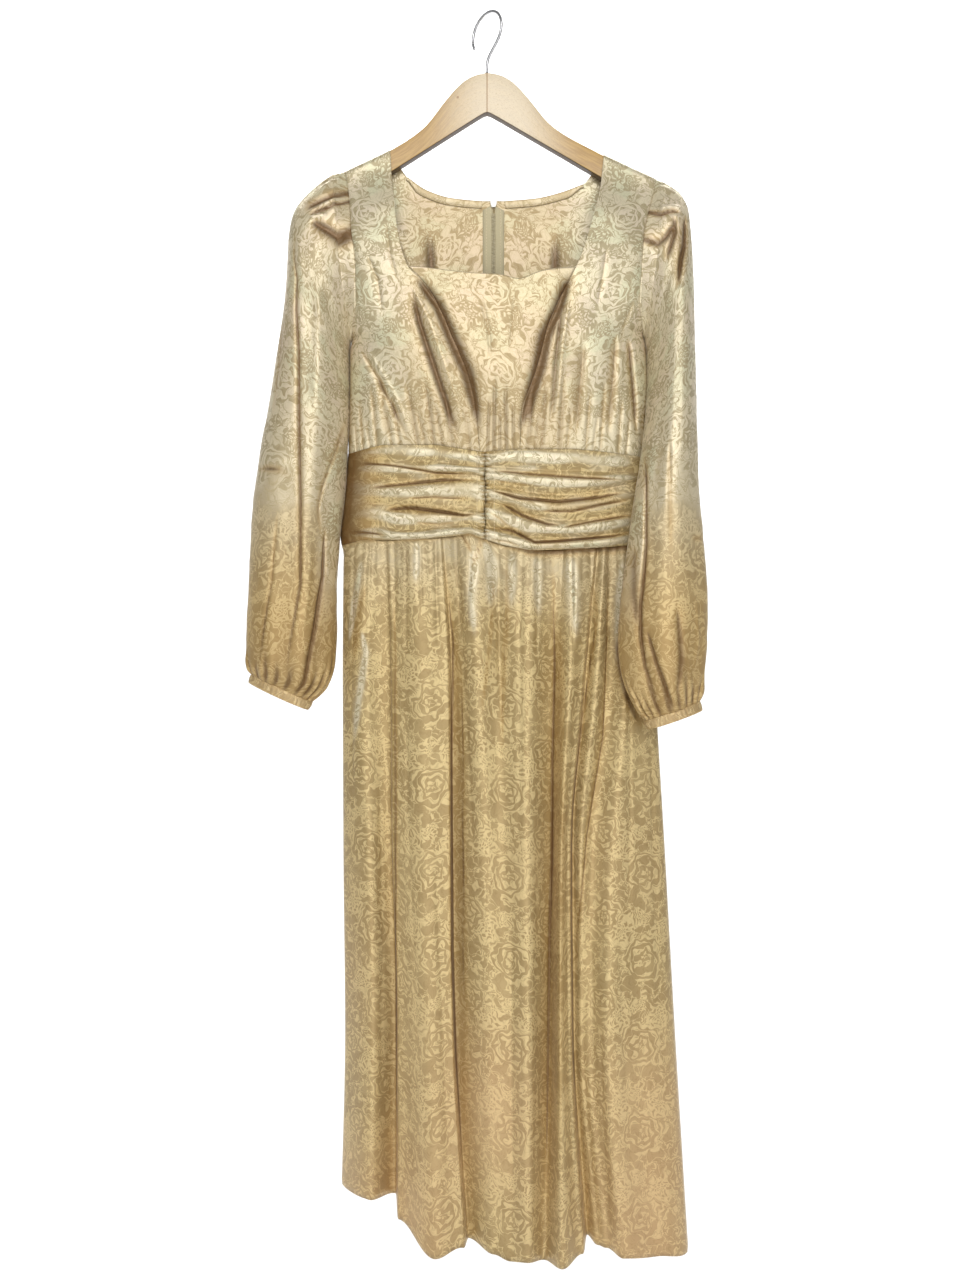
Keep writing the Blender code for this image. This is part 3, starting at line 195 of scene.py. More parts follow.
def swell(side, z):
    """How far the side leans out to the sleeve at a height."""
    most, top, bottom, fade = SIDE_SWELL[side]
    return most * ease((top - z) / fade) * ease((z - bottom) / fade)


side_x = {
    "left": lambda z: body_curves[1](z) - swell("left", np.asarray(z, float)),
    "right": lambda z: body_curves[2](z) + swell("right", np.asarray(z, float)),
}


def shoulder_height(x):
    """Height of the nearer shoulder seam's line over a place."""
    heights = []
    for side in SIDES:
        (neck_x, neck_z), (end_x, end_z) = NECK_POINT[side], SHOULDER_POINT[side]
        heights.append(neck_z + (end_z - neck_z) * (x - neck_x) / (end_x - neck_x))
    return np.where(x < (NECK_POINT["left"][0] + NECK_POINT["right"][0]) / 2, *heights)


def over_hanger(drop):
    """Share of the full depth at a drop below the shoulder seam, along a quarter of a circle."""
    left = 1 - np.clip(drop / SHOULDER_TURN, 0, 1)
    return np.sqrt(np.maximum(0.0, 1 - left * left))


def armhole_depth(side, face, z):
    """Half depth of the armhole at a height, nothing at the underarm and below it."""
    rise = z - UNDERARM[side][1]
    growth = ease((SHOULDER_POINT[side][1] - z) / ARMHOLE_GROWTH)
    full = mix(SHOULDER_TURN, ARMHOLE_HALF_DEPTH[face], growth)
    left = 1 - np.clip(rise / UNDERARM_TURN, 0, 1)
    return np.where(rise <= 0, 0.0, full * np.sqrt(np.maximum(0.0, 1 - left * left)))


def armhole_spread(side, face, across, z):
    """The armhole's depth at its edge, which spreads out over the height further in."""
    sharp = armhole_depth(side, face, z)
    low = UNDERARM[side][1]
    gentle = ARMHOLE_HALF_DEPTH[face] * ease((z - low + 70) / 150) * ease((SHOULDER_POINT[side][1] - z) / 60)
    return mix(gentle, sharp, ease((np.abs(across) - 0.72) / 0.27))


def cloth_y(face, x, z):
    """Depth of the smooth cloth of the front or back at places (x, z)."""
    x, z = np.asarray(x, float), np.asarray(z, float)
    left, right = side_x["left"](z), side_x["right"](z)
    front, back, swing = (body_curves[k](z) for k in (3, 4, 5))
    middle, half = (left + right) / 2, (right - left) / 2
    across = np.clip((x - middle) / half, -1, 1)
    lens = (1 - np.abs(across) ** LENS_POWER) ** (1 / LENS_POWER)
    edge = np.where(across < 0, *(armhole_spread(side, face, across, z) for side in SIDES))
    depth = edge + ((front if face == "front" else back) - edge) * lens
    depth = depth * over_hanger(shoulder_height(x) - z)
    return (-depth if face == "front" else depth) - swing * across


print("half depth at the chest:", round(float(-cloth_y("front", 10, -400)), 1), "mm")

# %% [markdown]
# ## Cloth as a thin shell
# A cut piece is a grid of points. The shell moves the grid out and in by half the cloth's thickness and
# closes the rim, so light meets a real edge. Each point also remembers its place on the flat cloth, measured
# along the threads, so that the woven pattern folds with the cloth, and a few values for its colour: how warm
# it is, how much painted sheen and how much painted shade it carries.


# %% Cloth shell
CLOTH_THICK = 0.8
slot_finish = {}
SATIN_PIECES = {}


def grid_directions(grid, closed=False):
    """Unit directions square to a grid of points."""
    if closed:
        across = np.roll(grid, -1, axis=1) - np.roll(grid, 1, axis=1)
    else:
        across = np.gradient(grid, axis=1)
    down = np.gradient(grid, axis=0)
    normal = np.cross(across, down)
    return normal / np.maximum(np.linalg.norm(normal, axis=2, keepdims=True), 1e-9)


def flat_places(grid):
    """Places of a grid's points on the flat cloth: lengths along its rows and down its columns."""
    steps = np.linalg.norm(np.diff(grid, axis=1), axis=2)
    across = np.concatenate([np.zeros((len(grid), 1)), np.cumsum(steps, axis=1)], axis=1)
    across -= across[:, across.shape[1] // 2][:, None]
    drops = np.linalg.norm(np.diff(grid, axis=0), axis=2).mean(axis=1)
    down = np.concatenate([[0.0], np.cumsum(drops)])
    return across, np.repeat(-down[:, None], grid.shape[1], axis=1)


def flat_size(grid, closed=False):
    """Width, length and area of the cloth of a grid, in metres."""
    loop = np.concatenate([grid, grid[:, :1]], axis=1) if closed else grid
    widths = np.linalg.norm(np.diff(loop, axis=1), axis=2).sum(axis=1)
    lengths = np.linalg.norm(np.diff(loop, axis=0), axis=2).sum(axis=0)
    one, other = loop[1:, 1:] - loop[:-1, :-1], loop[1:, :-1] - loop[:-1, 1:]
    area = np.linalg.norm(np.cross(one, other), axis=2).sum() / 2
    return widths.max() * MM, lengths.max() * MM, area * MM * MM


def make_mesh(name, points, faces):
    """A smooth mesh object from points in millimetres and the corner numbers of its faces."""
    mesh = bpy.data.meshes.new(name)
    mesh.from_pydata((np.asarray(points) * MM).tolist(), [], faces)
    mesh.update()
    mesh.shade_smooth()
    thing = bpy.data.objects.new(name, mesh)
    bpy.context.scene.collection.objects.link(thing)
    return thing


def shell_faces(rows, columns, closed):
    """Corner numbers of a closed shell: outer sheet, inner sheet and rim."""
    spans = columns if closed else columns - 1
    r, c = np.meshgrid(np.arange(rows - 1), np.arange(spans), indexing="ij")
    n = (c + 1) % columns
    a, b, d, e = (r * columns + c, r * columns + n, (r + 1) * columns + n, (r + 1) * columns + c)
    outer = np.stack([a, b, d, e], axis=-1).reshape(-1, 4)
    count = rows * columns
    parts = [outer, outer[:, ::-1] + count]
    c = np.arange(spans)
    n = (c + 1) % columns
    last = (rows - 1) * columns
    parts.append(np.stack([c, c + count, n + count, n], axis=-1))
    parts.append(np.stack([last + c, last + n, last + n + count, last + c + count], axis=-1))
    if not closed:
        r = np.arange(rows - 1) * columns
        end = r + columns - 1
        parts.append(np.stack([r, r + columns, r + columns + count, r + count], axis=-1))
        parts.append(np.stack([end, end + count, end + columns + count, end + columns], axis=-1))
    return np.concatenate(parts)


def cloth(name, grid, closed=False, thick=CLOTH_THICK, look=None, turn=False):
    """Makes a cut piece of cloth. Its outer side is the one its rows and columns turn right-handed round."""
    rows, columns = grid.shape[:2]
    outward = grid_directions(grid, closed) * (-1 if turn else 1)
    points = np.concatenate([grid + outward * thick / 2, grid - outward * thick / 2]).reshape(-1, 3)
    faces = shell_faces(rows, columns, closed)
    if not turn:
        faces = faces[:, ::-1]
    thing = make_mesh(name, points, faces.tolist())
    u, v = flat_places(grid)
    spot = np.stack([u, v, np.zeros_like(u)], axis=-1).reshape(-1, 3)
    # The second and third values are painted sheen and painted shade.
    tone = np.zeros((rows * columns, 3)) if look is None else np.stack(look, axis=-1).reshape(-1, 3)
    for label, values in (("cloth_place", spot * MM), ("cloth_warmth_painted_light", tone)):
        layer = thing.data.attributes.new(label, "FLOAT_VECTOR", "POINT")
        layer.data.foreach_set("vector", np.tile(values, (2, 1)).ravel())
    return thing


def finish_piece(thing, body, slot, nodes=(), material=None):
    """Gives a piece its finish, rides it on its body and hides the plain nodes that it stands for."""
    thing.data.materials.append(material or slot_finish[slot])
    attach(thing, body)
    if nodes:
        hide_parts(*nodes)
    return thing


def add_satin(node, grid, look, turn=False, closed=False, thick=CLOTH_THICK):
    """Makes the satin cloth of a cut piece and keeps it with its grid for the stitches and the flat sizes."""
    piece = cloth("satin_" + node, grid, closed, thick, look, turn)
    finish_piece(piece, "dress", "satin", [node])
    SATIN_PIECES[node] = (piece, grid, closed)
    print(piece.name, grid.shape[:2])


def count_triangles(thing):
    """How many triangles a piece's faces come to."""
    return sum(len(face.vertices) - 2 for face in thing.data.polygons)


def cut_sheet(thing, grid, held, rests_on, closed=False):
    """Works out the flat size of a cloth piece and prints it."""
    width, length, area = flat_size(grid, closed)
    share = area / (width * length)
    print(f"{thing.name}: {width / MM:.0f} x {length / MM:.0f} mm flat, {area:.4f} m2, share {share:.2f},",
          count_triangles(thing), "triangles")


# %% [markdown]
# ## Shader maths as plain sums
# A finish is a graph of nodes. Writing it as sums keeps it readable: a small class wraps a socket, so that
# `1 - mask * 0.5` adds the Math nodes by itself. Any other node comes from one function, which sets the
# node's settings first and then its sockets.


# %% Sockets that add up
class Wire:
    """A node's output that can be used in sums."""

    def __init__(self, tree, socket):
        self.tree, self.socket = tree, socket

    def sum_with(self, operation, *values):
        return add_node(self.tree, "ShaderNodeMath", {"operation": operation}, dict(enumerate(values)))

    def __add__(self, other):
        return self.sum_with("ADD", self, other)

    def __sub__(self, other):
        return self.sum_with("SUBTRACT", self, other)

    def __rsub__(self, other):
        return self.sum_with("SUBTRACT", other, self)

    def __mul__(self, other):
        return self.sum_with("MULTIPLY", self, other)

    def __truediv__(self, other):
        return self.sum_with("DIVIDE", self, other)

    __radd__, __rmul__ = __add__, __mul__

    def largest(self, other):
        return self.sum_with("MAXIMUM", self, other)

    def smallest(self, other):
        return self.sum_with("MINIMUM", self, other)

    def zigzag(self, height):
        return self.sum_with("PINGPONG", self, height)

    def sine(self):
        return self.sum_with("SINE", self)

    def size(self):
        return self.sum_with("ABSOLUTE", self)

    def step(self, low, high):
        """0 below low, 1 above high, and smooth between. It falls when low is above high."""
        if low > high:
            return 1 - self.step(high, low)
        return add_node(self.tree, "ShaderNodeMapRange", {"interpolation_type": "SMOOTHSTEP"},
                        {"Value": self, "From Min": low, "From Max": high})

    def moved(self, operation, *others, output=0):
        values = dict(enumerate((self, *others)))
        return add_node(self.tree, "ShaderNodeVectorMath", {"operation": operation}, values, output)

    def long(self):
        return self.moved("LENGTH", output="Value")

    def part(self, axis):
        return add_node(self.tree, "ShaderNodeSeparateXYZ", {}, {"Vector": self}, "XYZ"[axis])


def add_node(tree, kind, settings, values, output=0):
    """Adds a node, sets its settings and then its sockets, and gives back one of its outputs."""
    node = tree.nodes.new(kind)
    for name, value in settings.items():
        setattr(node, name, value)
    for name, value in values.items():
        socket = node.inputs[name]
        if isinstance(value, Wire):
            tree.links.new(value.socket, socket)
        else:
            socket.default_value = value
    return Wire(tree, node.outputs[output])


def blend(share, one, other):
    """A colour between two colours."""
    ends = [colour if isinstance(colour, Wire) else (*colour, 1.0) for colour in (one, other)]
    return add_node(share.tree, "ShaderNodeMix", {"data_type": "RGBA"}, {0: share, 6: ends[0], 7: ends[1]}, 2)


def noise(place, scale, detail, output=0, dimensions="3D"):
    """Soft spots, with so many to each unit of the place."""
    return add_node(place.tree, "ShaderNodeTexNoise", {"noise_dimensions": dimensions},
                    {"Vector": place, "Scale": scale, "Detail": detail}, output)


def point_values(tree, name):
    """Values that the mesh's points carry."""
    return add_node(tree, "ShaderNodeAttribute", {"attribute_name": name}, {}, "Vector")


def object_place(tree):
    """The place in the piece's own space, in metres."""
    return add_node(tree, "ShaderNodeTexCoord", {}, {}, "Object")


def new_finish(name, **fixed):
    """A material with its fixed values on the shader's own sockets."""
    material = bpy.data.materials.new(name)
    material.use_nodes = True
    tree = material.node_tree
    shader = tree.nodes["Principled BSDF"]
    for socket, value in fixed.items():
        shader.inputs[socket.replace("_", " ")].default_value = value
    return material, tree, shader


def feed(shader, **wires):
    """Joins what varies over the surface to the shader."""
    for socket, wire in wires.items():
        wire.tree.links.new(wire.socket, shader.inputs[socket.replace("_", " ")])


def raised(height, depth_mm, strength=1.0):
    """Turns a height from 0 to 1 into a relief of the surface."""
    values = {"Height": height, "Distance": depth_mm * MM, "Strength": strength}
    return add_node(height.tree, "ShaderNodeBump", {}, values, "Normal")


# %% [markdown]
# ## The woven roses
# The satin is a jacquard: its ground and its motifs are woven with different faces up, so the same thread
# looks light in one and dark in the other. The pattern repeats about every ten centimetres. It is charted
# here from a few shapes: a rose is a spiral of scalloped petals, a carnation is rings of short
# dashes, a single petal is an ellipse with a bite, and small curls and buds fill the ground between them.
# Each shape is a short sum on the place on the cloth.

# %% Rose chart
REPEAT = (104.0, 96.0)
ROSES = (
    # centre, radius, petals in a ring, turn of the petals
    (0, 0, 23, 5, 0.4),
    (52, 47, 20, 6, 1.9),
)
CARNATIONS = (
    # centre, radius, dashes round it
    (-30, 33, 16, 9),
    (24, 31, 13, 8),
    (-3, -50, 10, 7),
)
PETALS = (
    # centre, half length, half width, turn in degrees, size of the bite out of it
    (34, -3, 9.5, 6, 84, 0.6),
    (16, -26, 10.5, 7.5, 24, 0.5),
    (-15, -25, 8.5, 7.2, 30, 0),
    (-6, -35, 7.5, 6, -12, 0.4),
    (-47, -24, 8.5, 7.6, 0, 0.5),
    (40, -21, 7.5, 3.2, 68, 0),
    (27, -42, 5.0, 4.2, 20, 0),
    (35, -37, 4.2, 3.6, 0, 0),
    (-35, -4, 7.5, 4.6, 62, 0.5),
    (-32, 9, 5.6, 3.8, -30, 0),
    (-9, 33, 6.8, 4.0, 15, 0),
    (9, 42, 6.4, 4.6, -55, 0.5),
    (-48, 6, 5.4, 4.4, 20, 0),
    (-50, 26, 6.2, 5.0, -40, 0.5),
)


def around(place, x, y):
    """The place measured from a motif's centre, repeated with the pattern."""
    low = (x - REPEAT[0] / 2, y - REPEAT[1] / 2, -1)
    high = (x + REPEAT[0] / 2, y + REPEAT[1] / 2, 1)
    return place.moved("WRAP", high, low).moved("SUBTRACT", (x, y, 0))


def flower(place, x, y, radius, lobes, lean, rings, lobe_depth, turn=0.0):
    """Rings of lobes round a centre: how far out a place is, which ring it is in and where in its lobe."""
    off = around(place, x, y)
    angle = off.part(1).sum_with("ARCTAN2", off.part(1), off.part(0))
    reach = off.long() / radius
    ring = reach * rings + angle * lean
    wave = (angle * lobes + ring.sum_with("FLOOR", ring) * 2.4 + turn).sine()
    return reach, (ring + wave * lobe_depth).zigzag(0.5), wave


def rose(place, x, y, radius, petals, turn):
    """Thick petals in a spiral with thin light lines between them."""
    reach, layer, wave = flower(place, x, y, radius, petals, 1 / (2 * math.pi), 3.3, 0.2, turn)
    return (layer + wave * 0.09).step(0.13, 0.21) * (reach + wave * 0.07).step(1.04, 0.99), reach


def carnation(place, x, y, radius, dashes):
    """Rings of short dashes."""
    reach, layer, wave = flower(place, x, y, radius, dashes, 0.0, 4.2, 0.2)
    return wave.step(-0.2, 0.15) * layer.step(0.12, 0.2) * reach.step(1.02, 0.94), reach


def petal(place, x, y, half_length, half_width, turn, bite):
    """A single dark petal, with a light notch where it has a bite."""
    turned = add_node(place.tree, "ShaderNodeVectorRotate", {"rotation_type": "Z_AXIS"},
                      {"Vector": around(place, x, y), "Angle": -math.radians(turn)})
    reach = turned.moved("MULTIPLY", (1 / half_length, 1 / half_width, 0)).long()
    thread = reach.step(1.05, 0.95)
    if bite:
        notch = turned.moved("SUBTRACT", (half_length * 0.35, half_width * 0.75, 0))
        notch = notch.moved("MULTIPLY", (1 / (half_length * bite), 1 / (half_width * bite), 0)).long()
        thread = thread * notch.step(0.9, 1.15)
    return thread, reach


def flat_noise(place, scale, detail, output=0):
    """Soft spots on the flat cloth, with so many to a millimetre."""
    return noise(place, scale, detail, output, "2D")


def rose_chart(place):
    """How much of the motif's thread is up at each place, from 0 to 1. Places are in millimetres."""
    waver = flat_noise(place, 0.07, 1.0, "Color")
    place = place.moved("MULTIPLY_ADD", (1, 1, 0), waver.moved("MULTIPLY_ADD", (15, 15, 0), (-7.5, -7.5, 0)))
    motif = near = None
    for shape, table in ((rose, ROSES), (carnation, CARNATIONS), (petal, PETALS)):
        for entry in table:
            thread, reach = shape(place, *entry)
            motif = thread if motif is None else motif.largest(thread)
            near = reach if near is None else near.smallest(reach)
    fine = flat_noise(place, 0.36, 1.0)
    curls = (flat_noise(place, 0.13, 0.0) * 5.5).zigzag(0.5).step(0.15, 0.22) * fine.step(0.38, 0.44)
    buds = add_node(place.tree, "ShaderNodeTexVoronoi", {"voronoi_dimensions": "2D"},
                    {"Vector": place, "Scale": 0.12, "Randomness": 0.9}, "Distance").step(0.4, 0.32)
    return motif.largest(curls.largest(buds) * near.step(1.04, 1.14)), fine


print(len(ROSES) + len(CARNATIONS) + len(PETALS), "motifs in a repeat of", REPEAT, "mm")

# %% [markdown]
# ## The satin
# Champagne satin has a soft metallic shine. High on the dress a painted sheen makes the motifs brighter than
# a darker ground, as if they catch the light; lower down, without it, the motifs look darker than the ground,
# and toward the hem the cloth turns warmer. Painted shade darkens folds, creases and gaps, first to a golden
# glow and then to brown. Near the shoulders the motifs carry painted gleams of pink and green. The fixed
# metallic shine is set on the shader itself, and only colour, roughness and relief vary.

# %% Satin
GROUND = (0.60, 0.475, 0.235)
MOTIF_DARK = (0.335, 0.245, 0.105)
# Painted sheen: lit copies of the ground and motif colours, fully and half sheened.
GROUND_PAINTED_SHEEN = (0.375, 0.318, 0.188)
MOTIF_PAINTED_SHEEN = (0.68, 0.61, 0.43)
GROUND_HALF_PAINTED_SHEEN = (0.60, 0.51, 0.32)
MOTIF_HALF_PAINTED_SHEEN = (0.40, 0.325, 0.19)
WARM = (0.64, 0.39, 0.21)
# Colours of the painted pink and green gleams.
PINK_GLEAM = (0.68, 0.54, 0.47)
GREEN_GLEAM = (0.56, 0.66, 0.43)
# Painted shade: a golden glow for light shade and dark brown for deep shade.
PAINTED_SHADE_GLOW = (0.45, 0.25, 0.05)
PAINTED_SHADE_BROWN = (0.125, 0.056, 0.009)


def satin(name):
    """The ground and the motifs in plain and painted-sheen colours, a warm tone, and painted shade."""
    material, tree, shader = new_finish(
        name, Metallic=0.35, Sheen_Weight=0.08, Sheen_Roughness=0.4, Specular_IOR_Level=0.5)
    place = point_values(tree, "cloth_place").moved("MULTIPLY", (1 / MM, 1 / MM, 0))
    look = point_values(tree, "cloth_warmth_painted_light")
    warmth, painted_sheen, shade = (look.part(axis) for axis in range(3))
    motif, fine = rose_chart(place)
    patches = flat_noise(place, 0.018, 2.0)
    # How much painted sheen a point carries picks between the plain, half-sheened and fully sheened colours.
    soft = painted_sheen.step(0.0, 0.5)
    low = blend(motif * (0.8 + patches.step(0.3, 0.6) * 0.2), blend(soft, GROUND, GROUND_HALF_PAINTED_SHEEN),
                blend(soft, MOTIF_DARK, MOTIF_HALF_PAINTED_SHEEN))
    # Painted gleams: where the painted sheen is strongest, patches of the motifs turn pink and green.
    near_shoulder = painted_sheen.step(0.6, 0.85)
    gleam = blend(patches.step(0.52, 0.62) * near_shoulder * 0.25, MOTIF_PAINTED_SHEEN, PINK_GLEAM)
    gleam = blend(patches.step(0.48, 0.38) * near_shoulder * 0.3, gleam, GREEN_GLEAM)
    high = blend(motif * (0.6 + fine.step(0.35, 0.6) * 0.4), GROUND_PAINTED_SHEEN, gleam)
    painted_sheen_share = (painted_sheen + patches * 0.6 - 0.3).step(0.3, 0.62)
    colour = blend(painted_sheen_share, low, high)
    colour = blend(warmth * 0.5, colour, WARM)
    # Faint random mottling in the same dark brown.
    colour = blend(fine.step(0.45, 0.8) * 0.2, colour, PAINTED_SHADE_BROWN)
    # Painted shade from the points' values, first toward the golden glow and then toward dark brown.
    colour = blend(shade, colour, blend(shade.step(0.15, 0.75), PAINTED_SHADE_GLOW, PAINTED_SHADE_BROWN))
    ribs = (place.part(0) * (2 * math.pi / 1.1)).sine() + (place.part(1) * (2 * math.pi / 0.9)).sine()
    height = fine * 0.75 + ribs * 0.08
    roughness = 0.44 + 0.05 * (1 - motif) + fine * 0.08 - painted_sheen_share * (0.05 + motif * 0.05)
    feed(shader, Base_Color=colour, Roughness=roughness, Normal=raised(height, 0.22, 0.8))
    return material


slot_finish["satin"] = satin("champagne satin")
print("satin nodes:", len(slot_finish["satin"].node_tree.nodes))

# %% [markdown]
# ## The bodice's cut edges
# The front is three panels. Two seams run from the corners of the square neckline down to the middle of the
# waist, and the straps belong to the side panels. The edges are lines through a few places, paired row by
# row with the side seam, the armhole and the shoulder.

# %% Bodice edges
PRINCESS = {
    "left": ((-8, -528), (-13, -479), (-22, -441), (-32, -416), (-41, -396), (-54, -366), (-71, -338),
             (-92, -316)),
    "right": ((38, -526), (40, -485), (50, -455), (56, -438), (61, -420), (68, -392), (81, -360),
              (103, -317)),
}
STRAP_EDGE = {
    "left": ((-99, -297), (-104, -275), (-107, -254), (-110, -230), (-113, -206)),
    "right": ((112, -295), (119, -272), (125, -250), (131, -228), (135, -209)),
}
ZIP_TOP = -218.5
ZIP_END = -742.0
CENTRE_BACK = tuple((ZIP_X, z) for z in (-527, -479, -436, -400, -360, -315, -272, -238, ZIP_TOP))
BACK_EDGE = {
    "left": CENTRE_BACK + ((-16, -218), (-45, -215), (-74, -206), (-96, -192)),
    "right": CENTRE_BACK + ((32, -218), (61, -215.5), (90, -209), (116, -200)),
}
SIDE_ROWS = (-527, -479, -436, -412)
ARMHOLE_ROWS = (0.0, 0.07, 0.18, 0.36, 0.48, 0.59, 0.70, 0.80, 0.88)
SHOULDER_ROWS = (8, 3, 0)
BAND_EDGES = {
    ("front", "top"): ((-162, -528), (-125, -520.5), (-60, -521.5), (-8, -530), (38, -527), (103.7, -526.5),
                       (191, -534)),
    ("front", "bottom"): ((-172, -637), (-144, -632), (-86, -633), (-20, -627), (15, -638.5), (48, -646),
                          (106, -644), (161, -640), (195, -636)),
    ("back", "top"): ((-162, -528), (8, -527), (191, -534)),
    ("back", "bottom"): ((-172, -637), (8, -637), (195, -636)),
}
TUCKED_UNDER = 3.0


def band_edge(face, x, edge):
    """Height of the midriff band's top or bottom edge over a place."""
    places, heights = zip(*BAND_EDGES[face, edge])
    return np.interp(x, places, heights)


def bodice_edges(side, face):
    """Inner edge and outer edge of a side front or a back, as points with the same number of rows."""
    inner = list(PRINCESS[side] + STRAP_EDGE[side]) if face == "front" else list(BACK_EDGE[side])
    neck_x, neck_z = NECK_POINT[side]
    last_x, last_z = inner[-1]
    for drop in SHOULDER_ROWS:
        inner.append((mix(neck_x, last_x, drop / (neck_z - last_z)), neck_z - drop))
    low, high = UNDERARM[side][1], SHOULDER_POINT[side][1]
    heights = list(SIDE_ROWS) + [mix(low, high, share) for share in ARMHOLE_ROWS]
    heights += [high - drop for drop in SHOULDER_ROWS]
    outer = [(float(side_x[side](z)), z) for z in heights]
    return np.array(inner, float), np.array(outer, float)


def fine_rows(inner, outer, spacing=3.0):
    """Row numbers with fractions, closer together where the coarse rows are further apart."""
    rows = [0.0]
    for r in range(len(inner) - 1):
        gap = max(np.hypot(*(inner[r + 1] - inner[r])), np.hypot(*(outer[r + 1] - outer[r])))
        steps = max(1, int(round(gap / spacing)))
        rows += [r + (k + 1) / steps for k in range(steps)]
    return np.array(rows)


def edge_line(points, rows):
    """A smooth edge read at row numbers with fractions."""
    index = np.arange(len(points))
    return np.stack([curve(index, points[:, k])(rows) for k in (0, 1)], axis=-1)


# %% [markdown]
# ## Creases of the bodice
# The bodice hangs empty, so it falls in long diagonal folds from the neck corners to the waist, and small
# gathers rise from the band. Every line was placed one by one: its depth, its half width, how lopsided it is,
# and the points that it runs through. A negative depth is a ridge.

# %% Bodice creases
FRONT_CREASES = (
    # depth, half width, lean, and the points (x, z) that it runs through
    (5.0, 8.0, 0.3, ((-88, -320), (-56, -363), (-36, -410), (-22, -440), (-13, -480), (-8, -524))),
    (4.2, 5.5, 0.4, ((-88, -340), (-78, -382), (-61, -433), (-47, -475), (-30, -523))),
    (-1.6, 5.0, 0.0, ((-90, -335), (-68, -378), (-50, -428), (-35, -475), (-21, -520))),
    (2.6, 3.0, 0.5, ((-153, -402), (-130, -440), (-109, -480), (-90, -522))),
    (-1.4, 3.5, 0.0, ((-146, -402), (-123, -440), (-102, -480), (-84, -520))),
    (1.8, 6.0, 0.0, ((-126, -436), (-122, -480), (-118, -520))),
    (5.6, 8.0, -0.4, ((104, -318), (91, -338), (82, -364), (66, -398), (59, -433), (50, -463), (40, -498),
                      (38, -524))),
    (2.4, 3.2, -0.4, ((86, -368), (79, -431), (77, -466), (72, -508))),
    (-1.4, 4.0, 0.0, ((96, -352), (88, -400), (84, -450), (80, -505))),
    (2.6, 6.0, 0.3, ((113, -402), (108, -460), (104, -520))),
    (3.0, 6.0, 0.2, ((151, -388), (147, -450), (142, -520))),
    (4.0, 4.5, 0.2, ((166, -392), (172, -450), (178, -515))),
    (1.2, 3.0, 0.3, ((-140, -300), (-128, -330), (-122, -372))),
    (0.9, 2.6, 0.0, ((-118, -262), (-114, -300), (-104, -336))),
    (1.0, 3.0, -0.3, ((140, -292), (134, -330), (128, -366))),
    (0.9, 3.0, 0.0, ((172, -352), (160, -384), (156, -420))),
    (1.0, 2.6, 0.0, ((-8, -350), (2, -392), (4, -430))),
    (0.8, 3.0, 0.0, ((34, -346), (30, -380), (26, -424))),
)
FRONT_GATHERS = (
    # place at the band, place at its end, height of its end, depth, half width
    (-155, -158, -486, 1.3, 2.6), (-147, -152, -460, 1.7, 3.0), (-138, -145, -484, 1.2, 2.4),
    (-130, -137, -446, 1.8, 3.0), (-112, -120, -480, 1.3, 2.4), (-102, -114, -452, 1.6, 2.8),
    (-81, -96, -446, 1.8, 3.0), (-71, -83, -478, 1.3, 2.3), (-62, -74, -442, 1.7, 2.9),
    (-52, -61, -474, 1.3, 2.4), (-41, -50, -456, 1.5, 2.6), (-20, -27, -474, 1.3, 2.3),
    (0, 3, -462, 1.4, 2.4), (8, 9, -440, 1.7, 2.8), (15, 14, -474, 1.2, 2.2), (23, 21, -446, 1.6, 2.6),
    (31, 30, -468, 1.3, 2.3), (48, 54, -452, 1.5, 2.6), (56, 62, -478, 1.3, 2.3), (64, 69, -446, 1.6, 2.8),
    (85, 89, -440, 1.8, 3.0), (94, 99, -476, 1.2, 2.3), (116, 121, -452, 1.7, 2.8),
    (125, 131, -480, 1.2, 2.3), (133, 138, -440, 1.8, 3.0), (155, 159, -460, 1.5, 2.7),
    (164, 169, -480, 1.2, 2.3), (184, 184, -470, 1.4, 2.6),
)
BACK_CREASES = (
    # depth, half width, lean, and the points (x, z) that it runs through
    (3.0, 8.0, 0.3, ((-70, -240), (-66, -330), (-48, -420), (-38, -522))),
    (2.4, 6.0, -0.3, ((-112, -300), (-104, -380), (-96, -450), (-92, -520))),
    (2.0, 5.0, 0.2, ((-146, -395), (-134, -440), (-126, -520))),
    (3.2, 8.0, -0.3, ((84, -244), (82, -330), (66, -420), (58, -522))),
    (2.6, 6.0, 0.3, ((132, -300), (124, -380), (118, -450), (112, -520))),
    (2.0, 5.0, -0.2, ((172, -392), (160, -440), (150, -520))),
    (-1.0, 5.0, 0.0, ((-24, -300), (-20, -400), (-22, -480))),
    (-1.0, 5.0, 0.0, ((42, -310), (36, -400), (36, -490))),
    (0.8, 3.0, 0.0, ((-128, -232), (-106, -262), (-92, -300))),
    (0.8, 3.0, 0.0, ((160, -240), (134, -270), (116, -306))),
)
BACK_GATHERS = (
    # place at the band, place at its end, height of its end, depth, half width
    (-150, -146, -476, 1.3, 2.6), (-139, -136, -456, 1.7, 3.0), (-118, -114, -482, 1.2, 2.4),
    (-108, -103, -448, 1.7, 3.0), (-84, -80, -470, 1.4, 2.6), (-73, -69, -444, 1.7, 2.9),
    (-60, -57, -482, 1.2, 2.4), (-50, -47, -458, 1.5, 2.7), (-28, -27, -474, 1.2, 2.4),
    (34, 33, -472, 1.3, 2.5), (46, 44, -450, 1.6, 2.8), (70, 66, -480, 1.2, 2.4), (80, 76, -446, 1.7, 3.0),
    (92, 88, -468, 1.4, 2.6), (102, 97, -452, 1.6, 2.8), (126, 121, -482, 1.2, 2.4),
    (137, 131, -448, 1.7, 3.0), (162, 158, -474, 1.3, 2.5), (174, 170, -456, 1.5, 2.7),
)


